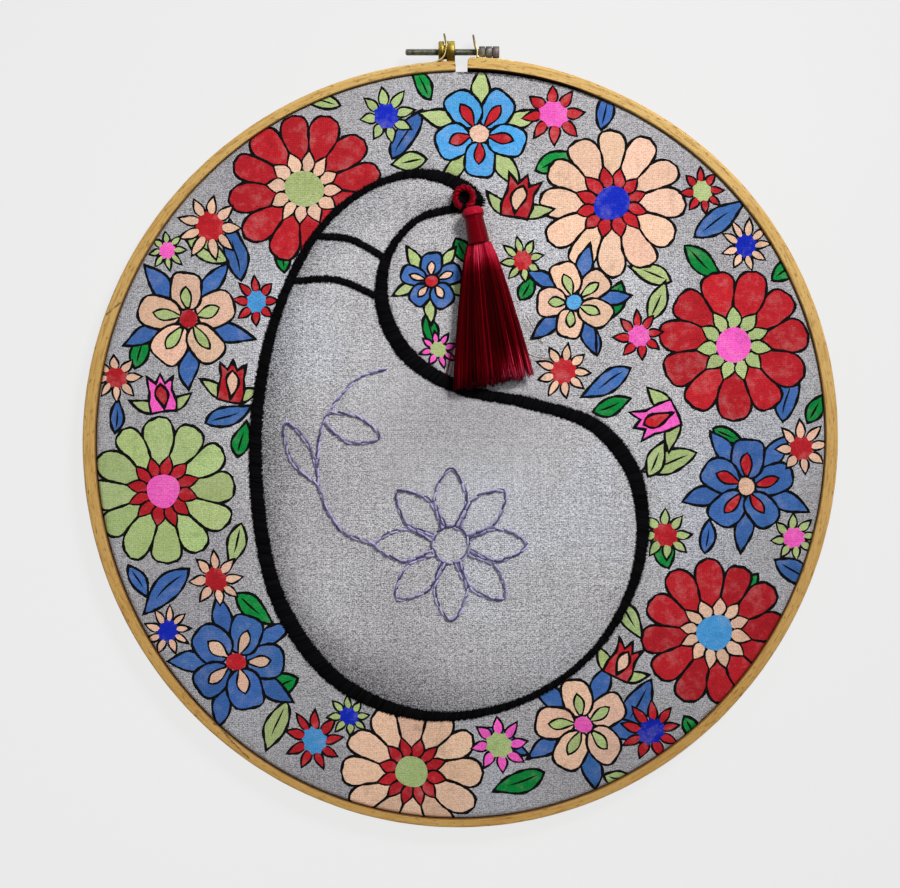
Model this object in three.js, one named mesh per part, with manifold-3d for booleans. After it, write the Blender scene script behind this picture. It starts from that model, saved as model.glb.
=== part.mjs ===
// Hoop embroidery art: painted cloth stretched over a bamboo embroidery hoop, with a satin-stitched
// outline, a back-stitched flower and a sewn-on tassel. It lies on its back: +Z is the cloth's face,
// +Y points to the hoop's screw, and the origin is the centre of its base. Lengths are millimetres.

import * as THREE from 'three';
import { mergeVertices } from 'three/addons/utils/BufferGeometryUtils.js';
import Module from 'manifold-3d';

const wasm = await Module();
wasm.setup();

// ---------------------------------------------------------------- driving dimensions

const GAP = 0.3; // clearance between neighbouring pieces
const SEGMENTS = 80; // facets around the hoop
const HOOP_CENTRE_Y = -5.26; // the hardware stands past the hoop's top, so its centre lies below Y 0
const HOOP_CENTRE_X = 0.16;

// A bent bamboo ring is never quite round. Each form is a mean radius with three slow waves:
// size is the wave's height and peak the direction, in degrees, where it is highest.
const OUTER_FORM = {
  radius: 155.8,
  waves: [{ order: 1, size: 0.3, peak: -101 }, { order: 2, size: 1.3, peak: 76 }, { order: 3, size: 0.4, peak: 35 }],
};
const SEAT_FORM = {
  radius: 151.5,
  waves: [{ order: 1, size: 0.6, peak: -102 }, { order: 2, size: 1.9, peak: 81 }, { order: 3, size: 0.45, peak: 26 }],
};

const HOOP_DEPTH = 10; // outer hoop, back to front
const HOOP_EDGE = 1; // its rounded edges
const LEFT_END = 90.75; // degrees: where the outer hoop's left and right ends stop
const RIGHT_END = 88.95;
const END_LIFT = 1.6; // how far the right end springs out
const LIFT_FROM = 62; // degrees: where that lift starts
const LEFT_CORNER = 1.4; // rounding of each end's outer corner
const RIGHT_CORNER = 2.2;
const CORNER_TURNS = [0, 30, 60, 90]; // degrees: the steps of a rounded corner or bend

const CLOTH_THICKNESS = 1;
const CLOTH_FACE_Z = 8.7; // height of the painted face
const CLOTH_HEM_Z = 0.6; // the trimmed edge between the hoops
const CLOTH_BEND = 1.6; // radius where the face turns down

const INNER_WIDTH = 4.8; // inner hoop, radially
const INNER_EDGE = 0.9;

const SCREW_Y = 160.4; // from the hoop's centre
const SCREW_Z = HOOP_DEPTH / 2;
const ROD_RADIUS = 1.45;
const ROD_LEFT = -22.7;
const HEAD_LEFT = 7.6;
const HEAD_RIGHT = 15.9;
const HEAD_RADIUS = 2.4;
const HEAD_BANDS = 3;
const HEAD_GROOVE = 0.35; // depth of the grooves between the head's bands
const HEAD_GROOVE_WIDTH = 0.5;
const HEAD_BEVEL = 0.2;
const ROD_BEVEL = 0.4;
const SCREW_SIDES = 20;

const NUT_LEFT = -9.1;
const NUT_RIGHT = -2.3;
const NECK_RADIUS = 2.9; // the nut's neck, in the left lug's hole
// The drums round the neck, to the left and right of the lug. Each has a flat side towards the hoop,
// at its own distance from the screw's axis, which keeps the nut from turning.
const NUT_DRUMS = [
  { left: NUT_LEFT, right: -8, radius: 4.5, flat: 2.55 },
  { left: NUT_LEFT, right: -6.8, radius: 4.5, flat: 0.9 },
  { left: -5.2, right: NUT_RIGHT, radius: 4.6, flat: 3.85 },
];
const NUT_BEVEL = 0.4;
const NUT_SIDES = 24;

const BRACKET_THICKNESS = 0.5;
const BRACKET_WIDTH = 8;
const RIVET_RADIUS = 1.5;
const RIVET_HEIGHT = 0.5;
const RIVET_ROUNDING = 0.7; // share of the rivet's radius and height where its dome turns
const RIVET_SIDES = 14;
const BASE_SHARES = [0, 0.4, 0.8]; // where a strip's line is fixed to the hoop, from base to foot
const STRIP_STEPS = 22;
// Each strip lies in the hoop from base to foot, given as angles on the hoop in degrees, and then
// rises through its lug points, given as x and y from the hoop's centre.
const LEFT_BRACKET = {
  base: 97.4, foot: 93.4, rivet: 96.2,
  lug: [[-7.0, 158.1], [-6.1, 160.6], [-5.75, 163.0], [-6.3, 165.6], [-6.85, 168.1]],
};
const RIGHT_BRACKET = {
  base: 82.2, foot: 87.5, rivet: 83.2,
  lug: [[6.9, 160.1], [6.0, 162.9], [5.55, 165.2], [5.1, 167.6]],
};

const TRIM_Z = CLOTH_FACE_Z + GAP; // underside of what is sewn to the cloth
const SATIN_HEIGHT = 0.9;
const SATIN_SLIM = 2.6; // the satin line's narrowest and widest, as a broad pen draws it
const SATIN_BROAD = 6.6;
const SATIN_EDGE = 0.3; // its rounded edges
const PEN_ANGLE = 35; // degrees
// The paisley's outline, clockwise from its tip, as x and y from the hoop's centre.
const PAISLEY = [
  [7, 97], [1, 104.5], [-16, 110], [-36, 105], [-57, 88], [-74, 56], [-83, 16], [-83, -26],
  [-74, -66], [-50, -98], [-14, -112], [25, -106], [56, -84], [73, -50], [72, -16], [56, 6],
  [28, 16], [0, 22], [-22, 36], [-32, 56], [-30, 76], [-18, 91], [-4, 95.5],
];
const PAISLEY_STEPS = 84;
// Bands across the paisley's neck: each runs through three points.
const NECK_BANDS = [
  [[-59.5, 84.5], [-45, 83], [-29.5, 74.5]],
  [[-69.5, 66], [-51, 66.5], [-31.5, 58.5]],
];
const BAND_WIDTH = 2.6;
const BAND_HEIGHT = 0.8;
const BAND_STEPS = 8;

const THREAD_RADIUS = 0.7; // back-stitched thread
const EYE_SIDES = 20;
const PETAL_ROOT = 2; // how far aside a petal's two threads leave the eye
const FLOWER = { x: -4, y: -42, eye: 7.5, tip: 31, petals: 8, spread: 6.6 };
const PETAL_STEPS = 8;
const STEM = [[-34.8, -42], [-49, -36], [-58, -18], [-56, 8], [-42, 26], [-30, 30]];
const STEM_STEPS = 16;
const LEAVES = [
  [[-58, -18], [-69, -8], [-72, 8], [-63, 0], [-58, -14]],
  [[-56, 8], [-46, 0], [-33, 2], [-41, 10], [-54, 12.5]],
];
const LEAF_STEPS = 9;

const TASSEL_Z = TRIM_Z + SATIN_HEIGHT + GAP; // the tassel lies across the satin line
const LOOP = { x: 1.2, y: 100.4, halfWidth: 3.6, halfHeight: 4.7, cord: 1.4, lift: 0.6, sides: 8, steps: 22 };
const TASSEL_HEAD = { topX: 4.4, topY: 97, bottomX: 7.4, bottomY: 81.3, radius: 4.4 };
// The bound head, bottom to top, as shares of its length and radius: a slight waist under a bulge.
const HEAD_PROFILE = [[1, 0.97], [0.62, 0.93], [0.36, 0.84], [0.2, 0.98], [0.05, 0.8]];
const TURNED_SIDES = 16; // sides of the head and the shoulder
const TASSEL_END = { x: 13.4, y: 24.9 }; // middle of the skirt's cut end
const SHOULDER_LENGTH = 8; // the threads' roots, bound into the head
const SHOULDER_END = 6.6;
const SHOULDER_EDGE = 0.9; // share of its length and width where its end is rounded off
const SHOULDER_TUCK = 1; // how far it reaches up into the head
const SHOULDER_FLATTEN = 0.66;
const SKIRT_TOP = 4.6; // half widths of the skirt under the head and at its cut end
const SKIRT_BOTTOM = 16;
const SKIRT_FLARE = 0.8; // under 1, it widens soon
const SKIRT_TOP_DEPTH = 7.4;
const SKIRT_BOTTOM_DEPTH = 6.4;
const SKIRT_ROUNDING = 0.7; // how round the skirt's section is under the head; flat at its cut end
const END_SLANT = 0.045; // share by which the right side is shorter and the left side longer
const END_UNEVEN = 0.02; // share by which locks end early or late
const LOCK_LAYERS = [12, 13, 12, 13, 12, 13];
const LOCK_ROOT = 0.4; // share of the shoulder's length where the locks start
const LOCK_SIDES = 3;
const LAYER_SPREAD = 0.86; // share of the skirt's depth that the locks' middles fill
const LOCK_ROOT_RADIUS = 0.34;
const LOCK_END_RADIUS = 0.74;
const LOCK_STEPS = 4;

const COLOURS = {
  bamboo: 0xc69a58,
  bambooInner: 0xc9a468,
  cloth: 0xa7a8ae,
  brass: 0xb08a3c,
  steel: 0x7f8478,
  satin: 0x0b0a0c,
  lavender: 0x8d87ad,
  burgundy: 0x6d0713,
};

// ---------------------------------------------------------------- helpers

const radians = THREE.MathUtils.degToRad;

// A geometry as one closed mesh: position only, shared corners merged, flat slivers dropped.
function closed(geometry) {
  const bare = geometry.clone();
  bare.deleteAttribute('normal');
  bare.deleteAttribute('uv');
  const merged = mergeVertices(bare, 1e-4);
  const kept = [];
  for (let i = 0; i < merged.index.count; i += 3) {
    const [a, b, c] = [merged.index.getX(i), merged.index.getX(i + 1), merged.index.getX(i + 2)];
    if (a !== b && b !== c && c !== a) {
      kept.push(a, b, c);
    }
  }
  merged.setIndex(kept);
  return merged;
}

function toSolid(geometry) {
  const mesh = closed(geometry);
  const vertProperties = new Float32Array(mesh.attributes.position.array);
  const triVerts = new Uint32Array(mesh.index.array);
  return new wasm.Manifold(new wasm.Mesh({ numProp: 3, vertProperties, triVerts }));
}

function toGeometry(solid) {
  const mesh = solid.getMesh();
  const geometry = new THREE.BufferGeometry();
  geometry.setAttribute('position', new THREE.BufferAttribute(mesh.vertProperties, 3));
  geometry.setIndex(new THREE.BufferAttribute(mesh.triVerts, 1));
  return geometry;
}

function fuse(geometries) {
  const [first, ...rest] = geometries.map(toSolid);
  return toGeometry(rest.reduce((sum, solid) => sum.add(solid), first));
}

function material(color, roughness, metalness = 0) {
  return new THREE.MeshStandardMaterial({ color, roughness, metalness });
}

// ---------------------------------------------------------------- hoop forms

function formRadius(form, degrees, offset = 0) {
  const wave = ({ order, size, peak }) => size * Math.cos(radians(order * (degrees - peak)));
  return form.waves.reduce((sum, row) => sum + wave(row), form.radius + offset);
}

function polar(degrees, radius) {
  return new THREE.Vector2(Math.cos(radians(degrees)), Math.sin(radians(degrees))).multiplyScalar(radius);
}

function endLift(degrees) {
  return END_LIFT * THREE.MathUtils.smoothstep(degrees - 360, LIFT_FROM, RIGHT_END);
}

// The outer hoop's face at an angle. The hoop runs from its left end, through 180 and 270 degrees,
// to its right end, which is 360 degrees further on.
function outerRadius(degrees) {
  return formRadius(OUTER_FORM, degrees) + endLift(degrees);
}

function boreRadius(degrees) {
  return formRadius(SEAT_FORM, degrees) + endLift(degrees);
}

function closedRing(form, offset) {
  const points = [];
  for (let i = 0; i < SEGMENTS; i++) {
    const degrees = (360 * i) / SEGMENTS;
    points.push(polar(degrees, formRadius(form, degrees, offset)));
  }
  return points;
}

// ---------------------------------------------------------------- hoops and cloth

function outerHoopOutline() {
  const step = 360 / SEGMENTS;
  const rightEnd = 360 + RIGHT_END;
  const outer = [];
  const bore = [];
  for (let degrees = Math.ceil(LEFT_END / step + 0.5) * step; degrees < rightEnd - step / 2; degrees += step) {
    outer.push(polar(degrees, outerRadius(degrees)));
    bore.push(polar(degrees, boreRadius(degrees)));
  }
  const corner = (end, size, inward) => CORNER_TURNS.map((turn) => {
    const along = size * (1 - Math.sin(radians(turn)));
    const down = size * (1 - Math.cos(radians(turn)));
    const degrees = end + inward * THREE.MathUtils.radToDeg(along / OUTER_FORM.radius);
    return polar(degrees, outerRadius(degrees) - down);
  });
  return [
    ...corner(LEFT_END, LEFT_CORNER, 1).reverse(),
    ...outer,
    ...corner(rightEnd, RIGHT_CORNER, -1),
    polar(rightEnd, boreRadius(rightEnd)),
    ...bore.reverse(),
    polar(LEFT_END, boreRadius(LEFT_END)),
  ];
}

function rounded(outline, holes, depth, edge, segments) {
  const shape = new THREE.Shape(outline);
  shape.holes = holes.map((points) => new THREE.Path(points));
  const geometry = new THREE.ExtrudeGeometry(shape, {
    depth: depth - 2 * edge,
    bevelThickness: edge,
    bevelSize: edge,
    bevelOffset: -edge,
    bevelSegments: segments,
  });
  return geometry.translate(0, 0, edge);
}

function makeOuterHoop() {
  const hoop = toSolid(rounded(outerHoopOutline(), [], HOOP_DEPTH, HOOP_EDGE, 2));
  const leftSeat = toSolid(bracketStrip(LEFT_BRACKET, GAP));
  const rightSeat = toSolid(bracketStrip(RIGHT_BRACKET, GAP));
  return toGeometry(hoop.subtract(leftSeat).subtract(rightSeat));
}

function makeInnerHoop() {
  const outside = -2 * GAP - CLOTH_THICKNESS;
  const inside = outside - INNER_WIDTH;
  const depth = CLOTH_FACE_Z - CLOTH_THICKNESS - GAP;
  return rounded(closedRing(SEAT_FORM, outside), [closedRing(SEAT_FORM, inside)], depth, INNER_EDGE, 1);
}

// The cloth is a flat round face whose rim turns down between the two hoops.
function makeCloth() {
  const outside = SEAT_FORM.radius - GAP;
  const inside = outside - CLOTH_THICKNESS;
  const underside = CLOTH_FACE_Z - CLOTH_THICKNESS;
  const insideBend = CLOTH_BEND - CLOTH_THICKNESS;
  const bend = CORNER_TURNS.map((turn) => new THREE.Vector2(
    outside - CLOTH_BEND * (1 - Math.cos(radians(turn))),
    CLOTH_FACE_Z - CLOTH_BEND * (1 - Math.sin(radians(turn))),
  ));
  const profile = [
    new THREE.Vector2(0, underside),
    new THREE.Vector2(inside - insideBend, underside),
    new THREE.Vector2(inside, underside - insideBend),
    new THREE.Vector2(inside, CLOTH_HEM_Z),
    new THREE.Vector2(outside, CLOTH_HEM_Z),
    ...bend,
    new THREE.Vector2(0, CLOTH_FACE_Z),
  ];
  const geometry = new THREE.LatheGeometry(profile, SEGMENTS).rotateX(Math.PI / 2);
  const position = geometry.attributes.position;
  for (let i = 0; i < position.count; i++) {
    const [x, y] = [position.getX(i), position.getY(i)];
    const radius = Math.hypot(x, y);
    const degrees = THREE.MathUtils.radToDeg(Math.atan2(y, x));
    const share = radius / SEAT_FORM.radius;
    const moved = radius + share * (formRadius(SEAT_FORM, degrees) - SEAT_FORM.radius);
    position.setXY(i, moved * Math.cos(radians(degrees)), moved * Math.sin(radians(degrees)));
  }
  return closed(geometry);
}

// ---------------------------------------------------------------- screw, nut and brackets

// A turned piece along X: rows of distance along the axis and radius.
function turned(rows, segments) {
  const profile = rows.map(([along, radius]) => new THREE.Vector2(radius, along));
  return closed(new THREE.LatheGeometry(profile, segments).rotateZ(-Math.PI / 2).translate(0, SCREW_Y, SCREW_Z));
}

function makeScrew() {
  const band = (HEAD_RIGHT - HEAD_LEFT) / HEAD_BANDS;
  const grooveRadius = HEAD_RADIUS - HEAD_GROOVE;
  const edgeRadius = HEAD_RADIUS - HEAD_BEVEL;
  const rows = [
    [ROD_LEFT, 0],
    [ROD_LEFT, ROD_RADIUS - ROD_BEVEL],
    [ROD_LEFT + ROD_BEVEL, ROD_RADIUS],
    [HEAD_LEFT, ROD_RADIUS],
  ];
  for (let i = 0; i < HEAD_BANDS; i++) {
    const last = i === HEAD_BANDS - 1;
    const left = HEAD_LEFT + i * band;
    const right = left + band - (last ? 0 : HEAD_GROOVE_WIDTH);
    rows.push([left, edgeRadius], [left + HEAD_BEVEL, HEAD_RADIUS]);
    rows.push([right - HEAD_BEVEL, HEAD_RADIUS], [right, edgeRadius]);
    if (!last) {
      rows.push([right, grooveRadius], [right + HEAD_GROOVE_WIDTH, grooveRadius]);
    }
  }
  rows.push([HEAD_RIGHT, 0]);
  return turned(rows, SCREW_SIDES);
}

// A turned tube about the screw, with its outer edges bevelled.
function turnedTube(left, right, radius, bevel) {
  const bore = ROD_RADIUS + GAP;
  return toSolid(turned([
    [left, bore],
    [left, radius - bevel],
    [left + bevel, radius],
    [right - bevel, radius],
    [right, radius - bevel],
    [right, bore],
    [left, bore],
  ], NUT_SIDES));
}

function makeNut() {
  const drums = NUT_DRUMS.map(({ left, right, radius, flat }) => (
    turnedTube(left, right, radius, NUT_BEVEL).trimByPlane([0, 1, 0], SCREW_Y - flat)
  ));
  const neck = turnedTube(NUT_LEFT, NUT_RIGHT, NECK_RADIUS, 0);
  return toGeometry(drums.reduce((sum, drum) => sum.add(drum), neck));
}

// A ribbon's outline: points to each side of a line, at a half width that may vary along it.
function ribbon(points, halfWidth) {
  const [left, right] = [[], []];
  points.forEach((point, i) => {
    const ahead = points[Math.min(i + 1, points.length - 1)];
    const behind = points[Math.max(i - 1, 0)];
    const side = ahead.clone().sub(behind).normalize().rotateAround(new THREE.Vector2(), Math.PI / 2);
    left.push(point.clone().addScaledVector(side, halfWidth(i)));
    right.push(point.clone().addScaledVector(side, -halfWidth(i)));
  });
  return [...right, ...left.reverse()];
}

function ringAngle(degrees) {
  return degrees < 90 ? degrees + 360 : degrees;
}

// A bracket's bent strip, grown on every side by extra. Flush with the hoop along its base.
function bracketStrip(bracket, extra) {
  const base = BASE_SHARES.map((share) => {
    const degrees = THREE.MathUtils.lerp(bracket.base, bracket.foot, share);
    return polar(degrees, outerRadius(ringAngle(degrees)) - BRACKET_THICKNESS / 2);
  });
  const foot = polar(bracket.foot, outerRadius(ringAngle(bracket.foot)) + BRACKET_THICKNESS / 2);
  const lug = bracket.lug.map(([x, y]) => new THREE.Vector2(x, y));
  const line = new THREE.SplineCurve([...base, foot, ...lug]).getPoints(STRIP_STEPS);
  const first = line[0].clone().sub(line[1]).setLength(extra);
  const last = line.at(-1).clone().sub(line.at(-2)).setLength(extra);
  line[0].add(first);
  line.at(-1).add(last);
  const outline = new THREE.Shape(ribbon(line, () => BRACKET_THICKNESS / 2 + extra));
  const width = BRACKET_WIDTH + 2 * extra;
  const strip = new THREE.ExtrudeGeometry(outline, { depth: width, bevelEnabled: false });
  return strip.translate(0, 0, SCREW_Z - width / 2);
}

function makeBracket(bracket, holeRadius) {
  const hole = new THREE.CylinderGeometry(holeRadius, holeRadius, BRACKET_WIDTH, NUT_SIDES)
    .rotateZ(Math.PI / 2)
    .translate(bracket.lug[1][0], SCREW_Y, SCREW_Z);
  const seat = polar(bracket.rivet, outerRadius(ringAngle(bracket.rivet)) - BRACKET_THICKNESS / 2);
  const face = BRACKET_THICKNESS / 2;
  const dome = new THREE.LatheGeometry([
    new THREE.Vector2(0, 0),
    new THREE.Vector2(RIVET_RADIUS, 0),
    new THREE.Vector2(RIVET_RADIUS, face),
    new THREE.Vector2(RIVET_RADIUS * RIVET_ROUNDING, face + RIVET_HEIGHT * RIVET_ROUNDING),
    new THREE.Vector2(0, face + RIVET_HEIGHT),
  ], RIVET_SIDES).rotateZ(radians(bracket.rivet - 90)).translate(seat.x, seat.y, SCREW_Z);
  const strip = toSolid(bracketStrip(bracket, 0)).subtract(toSolid(hole));
  return toGeometry(strip.add(toSolid(dome)));
}

// ---------------------------------------------------------------- stitched trim

function satinWidth(tangent) {
  const turn = Math.atan2(tangent.y, tangent.x) - radians(PEN_ANGLE);
  return SATIN_SLIM + (SATIN_BROAD - SATIN_SLIM) * Math.sin(turn) ** 2;
}

function makeSatinOutline() {
  const line = new THREE.CatmullRomCurve3(PAISLEY.map(([x, y]) => new THREE.Vector3(x, y, 0)), true, 'centripetal');
  const outside = [];
  const inside = [];
  for (let i = 0; i < PAISLEY_STEPS; i++) {
    const point = line.getPointAt(i / PAISLEY_STEPS);
    const tangent = line.getTangentAt(i / PAISLEY_STEPS);
    const half = satinWidth(tangent) / 2;
    const side = new THREE.Vector2(-tangent.y, tangent.x);
    outside.push(new THREE.Vector2(point.x, point.y).addScaledVector(side, -half));
    inside.push(new THREE.Vector2(point.x, point.y).addScaledVector(side, half));
  }
  const pieces = [rounded(outside, [inside], SATIN_HEIGHT, SATIN_EDGE, 1)];
  for (const band of NECK_BANDS) {
    const points = new THREE.SplineCurve(band.map(([x, y]) => new THREE.Vector2(x, y))).getPoints(BAND_STEPS);
    const outline = ribbon(points, () => BAND_WIDTH / 2);
    pieces.push(rounded(outline, [], BAND_HEIGHT, SATIN_EDGE, 1));
  }
  return fuse(pieces).translate(0, 0, TRIM_Z);
}

function thread(points, steps) {
  const path = new THREE.CatmullRomCurve3(points.map(([x, y]) => new THREE.Vector3(x, y, 0)));
  const section = new THREE.Shape();
  section.moveTo(THREAD_RADIUS, 0);
  section.lineTo(0, THREAD_RADIUS);
  section.lineTo(-THREAD_RADIUS, 0);
  section.lineTo(0, -THREAD_RADIUS);
  section.closePath();
  return new THREE.ExtrudeGeometry(section, { steps, extrudePath: path });
}

function makeStitchedFlower() {
  const at = (degrees, radius, aside = 0) => {
    const point = polar(degrees, radius).add(polar(degrees + 90, aside));
    return [FLOWER.x + point.x, FLOWER.y + point.y];
  };
  const threads = [thread(STEM, STEM_STEPS), ...LEAVES.map((leaf) => thread(leaf, LEAF_STEPS))];
  for (let i = 0; i < FLOWER.petals; i++) {
    const turn = (360 * i) / FLOWER.petals;
    const middle = (FLOWER.eye + FLOWER.tip) / 2;
    threads.push(thread([
      at(turn, FLOWER.eye, -PETAL_ROOT), at(turn, middle, -FLOWER.spread), at(turn, FLOWER.tip),
      at(turn, middle, FLOWER.spread), at(turn, FLOWER.eye, PETAL_ROOT),
    ], PETAL_STEPS));
  }
  const eye = new THREE.TorusGeometry(FLOWER.eye, THREAD_RADIUS, 4, EYE_SIDES).translate(FLOWER.x, FLOWER.y, 0);
  return fuse([eye, ...threads]).translate(0, 0, TRIM_Z + THREAD_RADIUS);
}

// ---------------------------------------------------------------- tassel

// One lock: a three-sided cone bent along the skirt, from its root in the shoulder to its cut end.
function makeLock(across, layer, root, end) {
  const lock = new THREE.CylinderGeometry(LOCK_ROOT_RADIUS, LOCK_END_RADIUS, 1, LOCK_SIDES, LOCK_STEPS);
  lock.translate(0, -0.5, 0);
  const head = new THREE.Vector2(TASSEL_HEAD.bottomX, TASSEL_HEAD.bottomY);
  const axis = new THREE.Vector2(TASSEL_END.x, TASSEL_END.y).sub(head);
  const side = new THREE.Vector2(-axis.y, axis.x).normalize();
  const position = lock.attributes.position;
  for (let i = 0; i < position.count; i++) {
    const along = THREE.MathUtils.lerp(root, end * (1 - END_SLANT * across), -position.getY(i));
    const half = THREE.MathUtils.lerp(SKIRT_TOP, SKIRT_BOTTOM, along ** SKIRT_FLARE);
    const depth = THREE.MathUtils.lerp(SKIRT_TOP_DEPTH, SKIRT_BOTTOM_DEPTH, along);
    const roundness = Math.sqrt(1 - (1 - along) * SKIRT_ROUNDING * layer * layer);
    const place = head.clone().addScaledVector(axis, along)
      .addScaledVector(side, across * half * roundness + position.getX(i));
    const height = (depth / 2) * (1 + layer * LAYER_SPREAD);
    position.setXYZ(i, place.x, place.y, TASSEL_Z + height + position.getZ(i));
  }
  return lock;
}

function makeTassel() {
  const loop = new THREE.TorusGeometry(LOOP.halfHeight, LOOP.cord, LOOP.sides, LOOP.steps)
    .scale(LOOP.halfWidth / LOOP.halfHeight, 1, 1)
    .translate(LOOP.x, LOOP.y, TASSEL_Z + LOOP.cord + LOOP.lift);
  const top = new THREE.Vector2(TASSEL_HEAD.topX, TASSEL_HEAD.topY);
  const bottom = new THREE.Vector2(TASSEL_HEAD.bottomX, TASSEL_HEAD.bottomY);
  const length = top.distanceTo(bottom);
  const lean = Math.atan2(bottom.x - top.x, top.y - bottom.y);
  const radius = TASSEL_HEAD.radius;
  const head = new THREE.LatheGeometry([
    new THREE.Vector2(0, -length),
    ...HEAD_PROFILE.map(([along, width]) => new THREE.Vector2(radius * width, -length * along)),
    new THREE.Vector2(0, 0),
  ], TURNED_SIDES).rotateZ(lean).translate(top.x, top.y, TASSEL_Z + radius);
  const axis = new THREE.Vector2(TASSEL_END.x, TASSEL_END.y).sub(bottom);
  const shoulder = new THREE.LatheGeometry([
    new THREE.Vector2(0, -SHOULDER_LENGTH),
    new THREE.Vector2(SHOULDER_END * SHOULDER_EDGE, -SHOULDER_LENGTH),
    new THREE.Vector2(SHOULDER_END, -SHOULDER_LENGTH * SHOULDER_EDGE),
    new THREE.Vector2(radius, SHOULDER_TUCK),
    new THREE.Vector2(0, SHOULDER_TUCK),
  ], TURNED_SIDES).scale(1, 1, SHOULDER_FLATTEN).rotateZ(Math.atan2(axis.x, -axis.y))
    .translate(bottom.x, bottom.y, TASSEL_Z + radius);
  const root = (LOCK_ROOT * SHOULDER_LENGTH) / axis.length();
  const widest = Math.max(...LOCK_LAYERS);
  const locks = [];
  LOCK_LAYERS.forEach((count, row) => {
    const layer = (2 * row) / (LOCK_LAYERS.length - 1) - 1;
    for (let i = 0; i < count; i++) {
      const across = (2 * i - count + 1) / widest;
      const end = 1 + END_UNEVEN * Math.sin(7 * i + 3 * row);
      locks.push(makeLock(across, layer, root, end));
    }
  });
  return fuse([head, loop, shoulder, ...locks]);
}

// ---------------------------------------------------------------- assembly

const hoopArt = new THREE.Group();
hoopArt.position.set(HOOP_CENTRE_X, HOOP_CENTRE_Y, 0);

function addPiece(name, geometry, finish) {
  const piece = new THREE.Mesh(geometry, finish);
  piece.name = name;
  hoopArt.add(piece);
}

const brass = material(COLOURS.brass, 0.35, 0.9);
addPiece('outer_hoop', makeOuterHoop(), material(COLOURS.bamboo, 0.55));
addPiece('inner_hoop', makeInnerHoop(), material(COLOURS.bambooInner, 0.6));
addPiece('cloth', makeCloth(), material(COLOURS.cloth, 0.9));
addPiece('bracket_left', makeBracket(LEFT_BRACKET, NECK_RADIUS + GAP), brass);
addPiece('bracket_right', makeBracket(RIGHT_BRACKET, ROD_RADIUS + GAP), brass);
addPiece('screw', makeScrew(), material(COLOURS.steel, 0.4, 0.9));
addPiece('nut', makeNut(), brass);
addPiece('satin_outline', makeSatinOutline(), material(COLOURS.satin, 0.8));
addPiece('stitched_flower', makeStitchedFlower(), material(COLOURS.lavender, 0.85));
addPiece('tassel', makeTassel(), material(COLOURS.burgundy, 0.6));

const part = new THREE.Group();
part.add(hoopArt);

export default part;
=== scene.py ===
"""Looks for the hoop embroidery art: bamboo hoop, painted cloth, stitches, tassel and screw fitting.

Shapes are worked out in millimetres from the hoop's centre, with Z up from the hoop's back, and
turned into metres in the part's frame when a mesh is made.
"""

import math
import random

import bpy
import bmesh
import numpy as np
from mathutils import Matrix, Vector, noise
from mathutils.geometry import delaunay_2d_cdt


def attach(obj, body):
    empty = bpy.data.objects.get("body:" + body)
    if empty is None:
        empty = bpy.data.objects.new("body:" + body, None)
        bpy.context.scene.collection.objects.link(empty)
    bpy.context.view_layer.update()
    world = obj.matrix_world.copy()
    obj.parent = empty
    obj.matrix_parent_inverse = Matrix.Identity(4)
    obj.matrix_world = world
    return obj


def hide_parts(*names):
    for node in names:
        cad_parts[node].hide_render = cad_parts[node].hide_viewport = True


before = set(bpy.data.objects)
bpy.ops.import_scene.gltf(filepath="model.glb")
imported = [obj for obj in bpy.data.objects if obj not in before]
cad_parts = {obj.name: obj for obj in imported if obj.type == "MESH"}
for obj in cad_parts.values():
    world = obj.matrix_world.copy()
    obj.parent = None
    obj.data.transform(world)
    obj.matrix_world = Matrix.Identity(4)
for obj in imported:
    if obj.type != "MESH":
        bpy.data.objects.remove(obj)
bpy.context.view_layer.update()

MM = 0.001
TAU = 2 * math.pi
HOOP_CENTRE = np.array([0.16, -5.26, 0.0])
BODY = "root"

# ---------------- sizes shared with the solids

# Each form: its mean radius, then the order, size and peak angle of each of its waves.
OUTER_FORM = (155.8, [(1, 0.3, -101), (2, 1.3, 76), (3, 0.4, 35)])
SEAT_FORM = (151.5, [(1, 0.6, -102), (2, 1.9, 81), (3, 0.45, 26)])
HOOP_DEPTH = 10.0
LEFT_END, RIGHT_END = 90.75, 448.95  # degrees round the hoop
END_LIFT, LIFT_FROM = 1.6, 422.0
BORE_LIFT = 0.4  # the lifted end is thicker, so its bore lifts by this share
LEFT_CORNER, RIGHT_CORNER = 1.4, 2.2
GAP = 0.3
CLOTH_FACE, CLOTH_THICKNESS, CLOTH_HEM, CLOTH_BEND = 8.7, 1.0, 0.6, 1.6
INNER_WIDTH = 4.8
SCREW_Y, SCREW_Z = 160.4, 5.0
ROD_RADIUS, ROD_LEFT = 1.45, -22.7
HEAD_LEFT, HEAD_RIGHT, HEAD_RADIUS = 7.6, 15.9, 2.4
# The nut's drums and neck: left, right, radius, and how far below the axis its flat side is.
NUT_PARTS = [
    (-9.1, -8.0, 4.5, 2.55), (-8.95, -6.75, 4.5, 0.9), (-5.75, -2.3, 4.6, 3.85), (-8.9, -2.4, 2.9, 2.9),
]
SATIN_SLIM, SATIN_BROAD, PEN_ANGLE = 2.6, 6.6, 35  # broad across the pen's angle, slim along it
PAISLEY = [
    (7, 97), (1, 104.5), (-16, 110), (-36, 105), (-57, 88), (-74, 56), (-83, 16), (-83, -26),
    (-74, -66), (-50, -98), (-14, -112), (25, -106), (56, -84), (73, -50), (72, -16), (56, 6),
    (28, 16), (0, 22), (-22, 36), (-32, 56), (-30, 76), (-18, 91), (-4, 95.5),
]
NECK_BANDS = [
    [(-59.5, 84.5), (-45, 83), (-29.5, 74.5)],
    [(-69.5, 66), (-51, 66.5), (-31.5, 58.5)],
]
BAND_WIDTH = 2.6


# ---------------- mesh helpers

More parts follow.
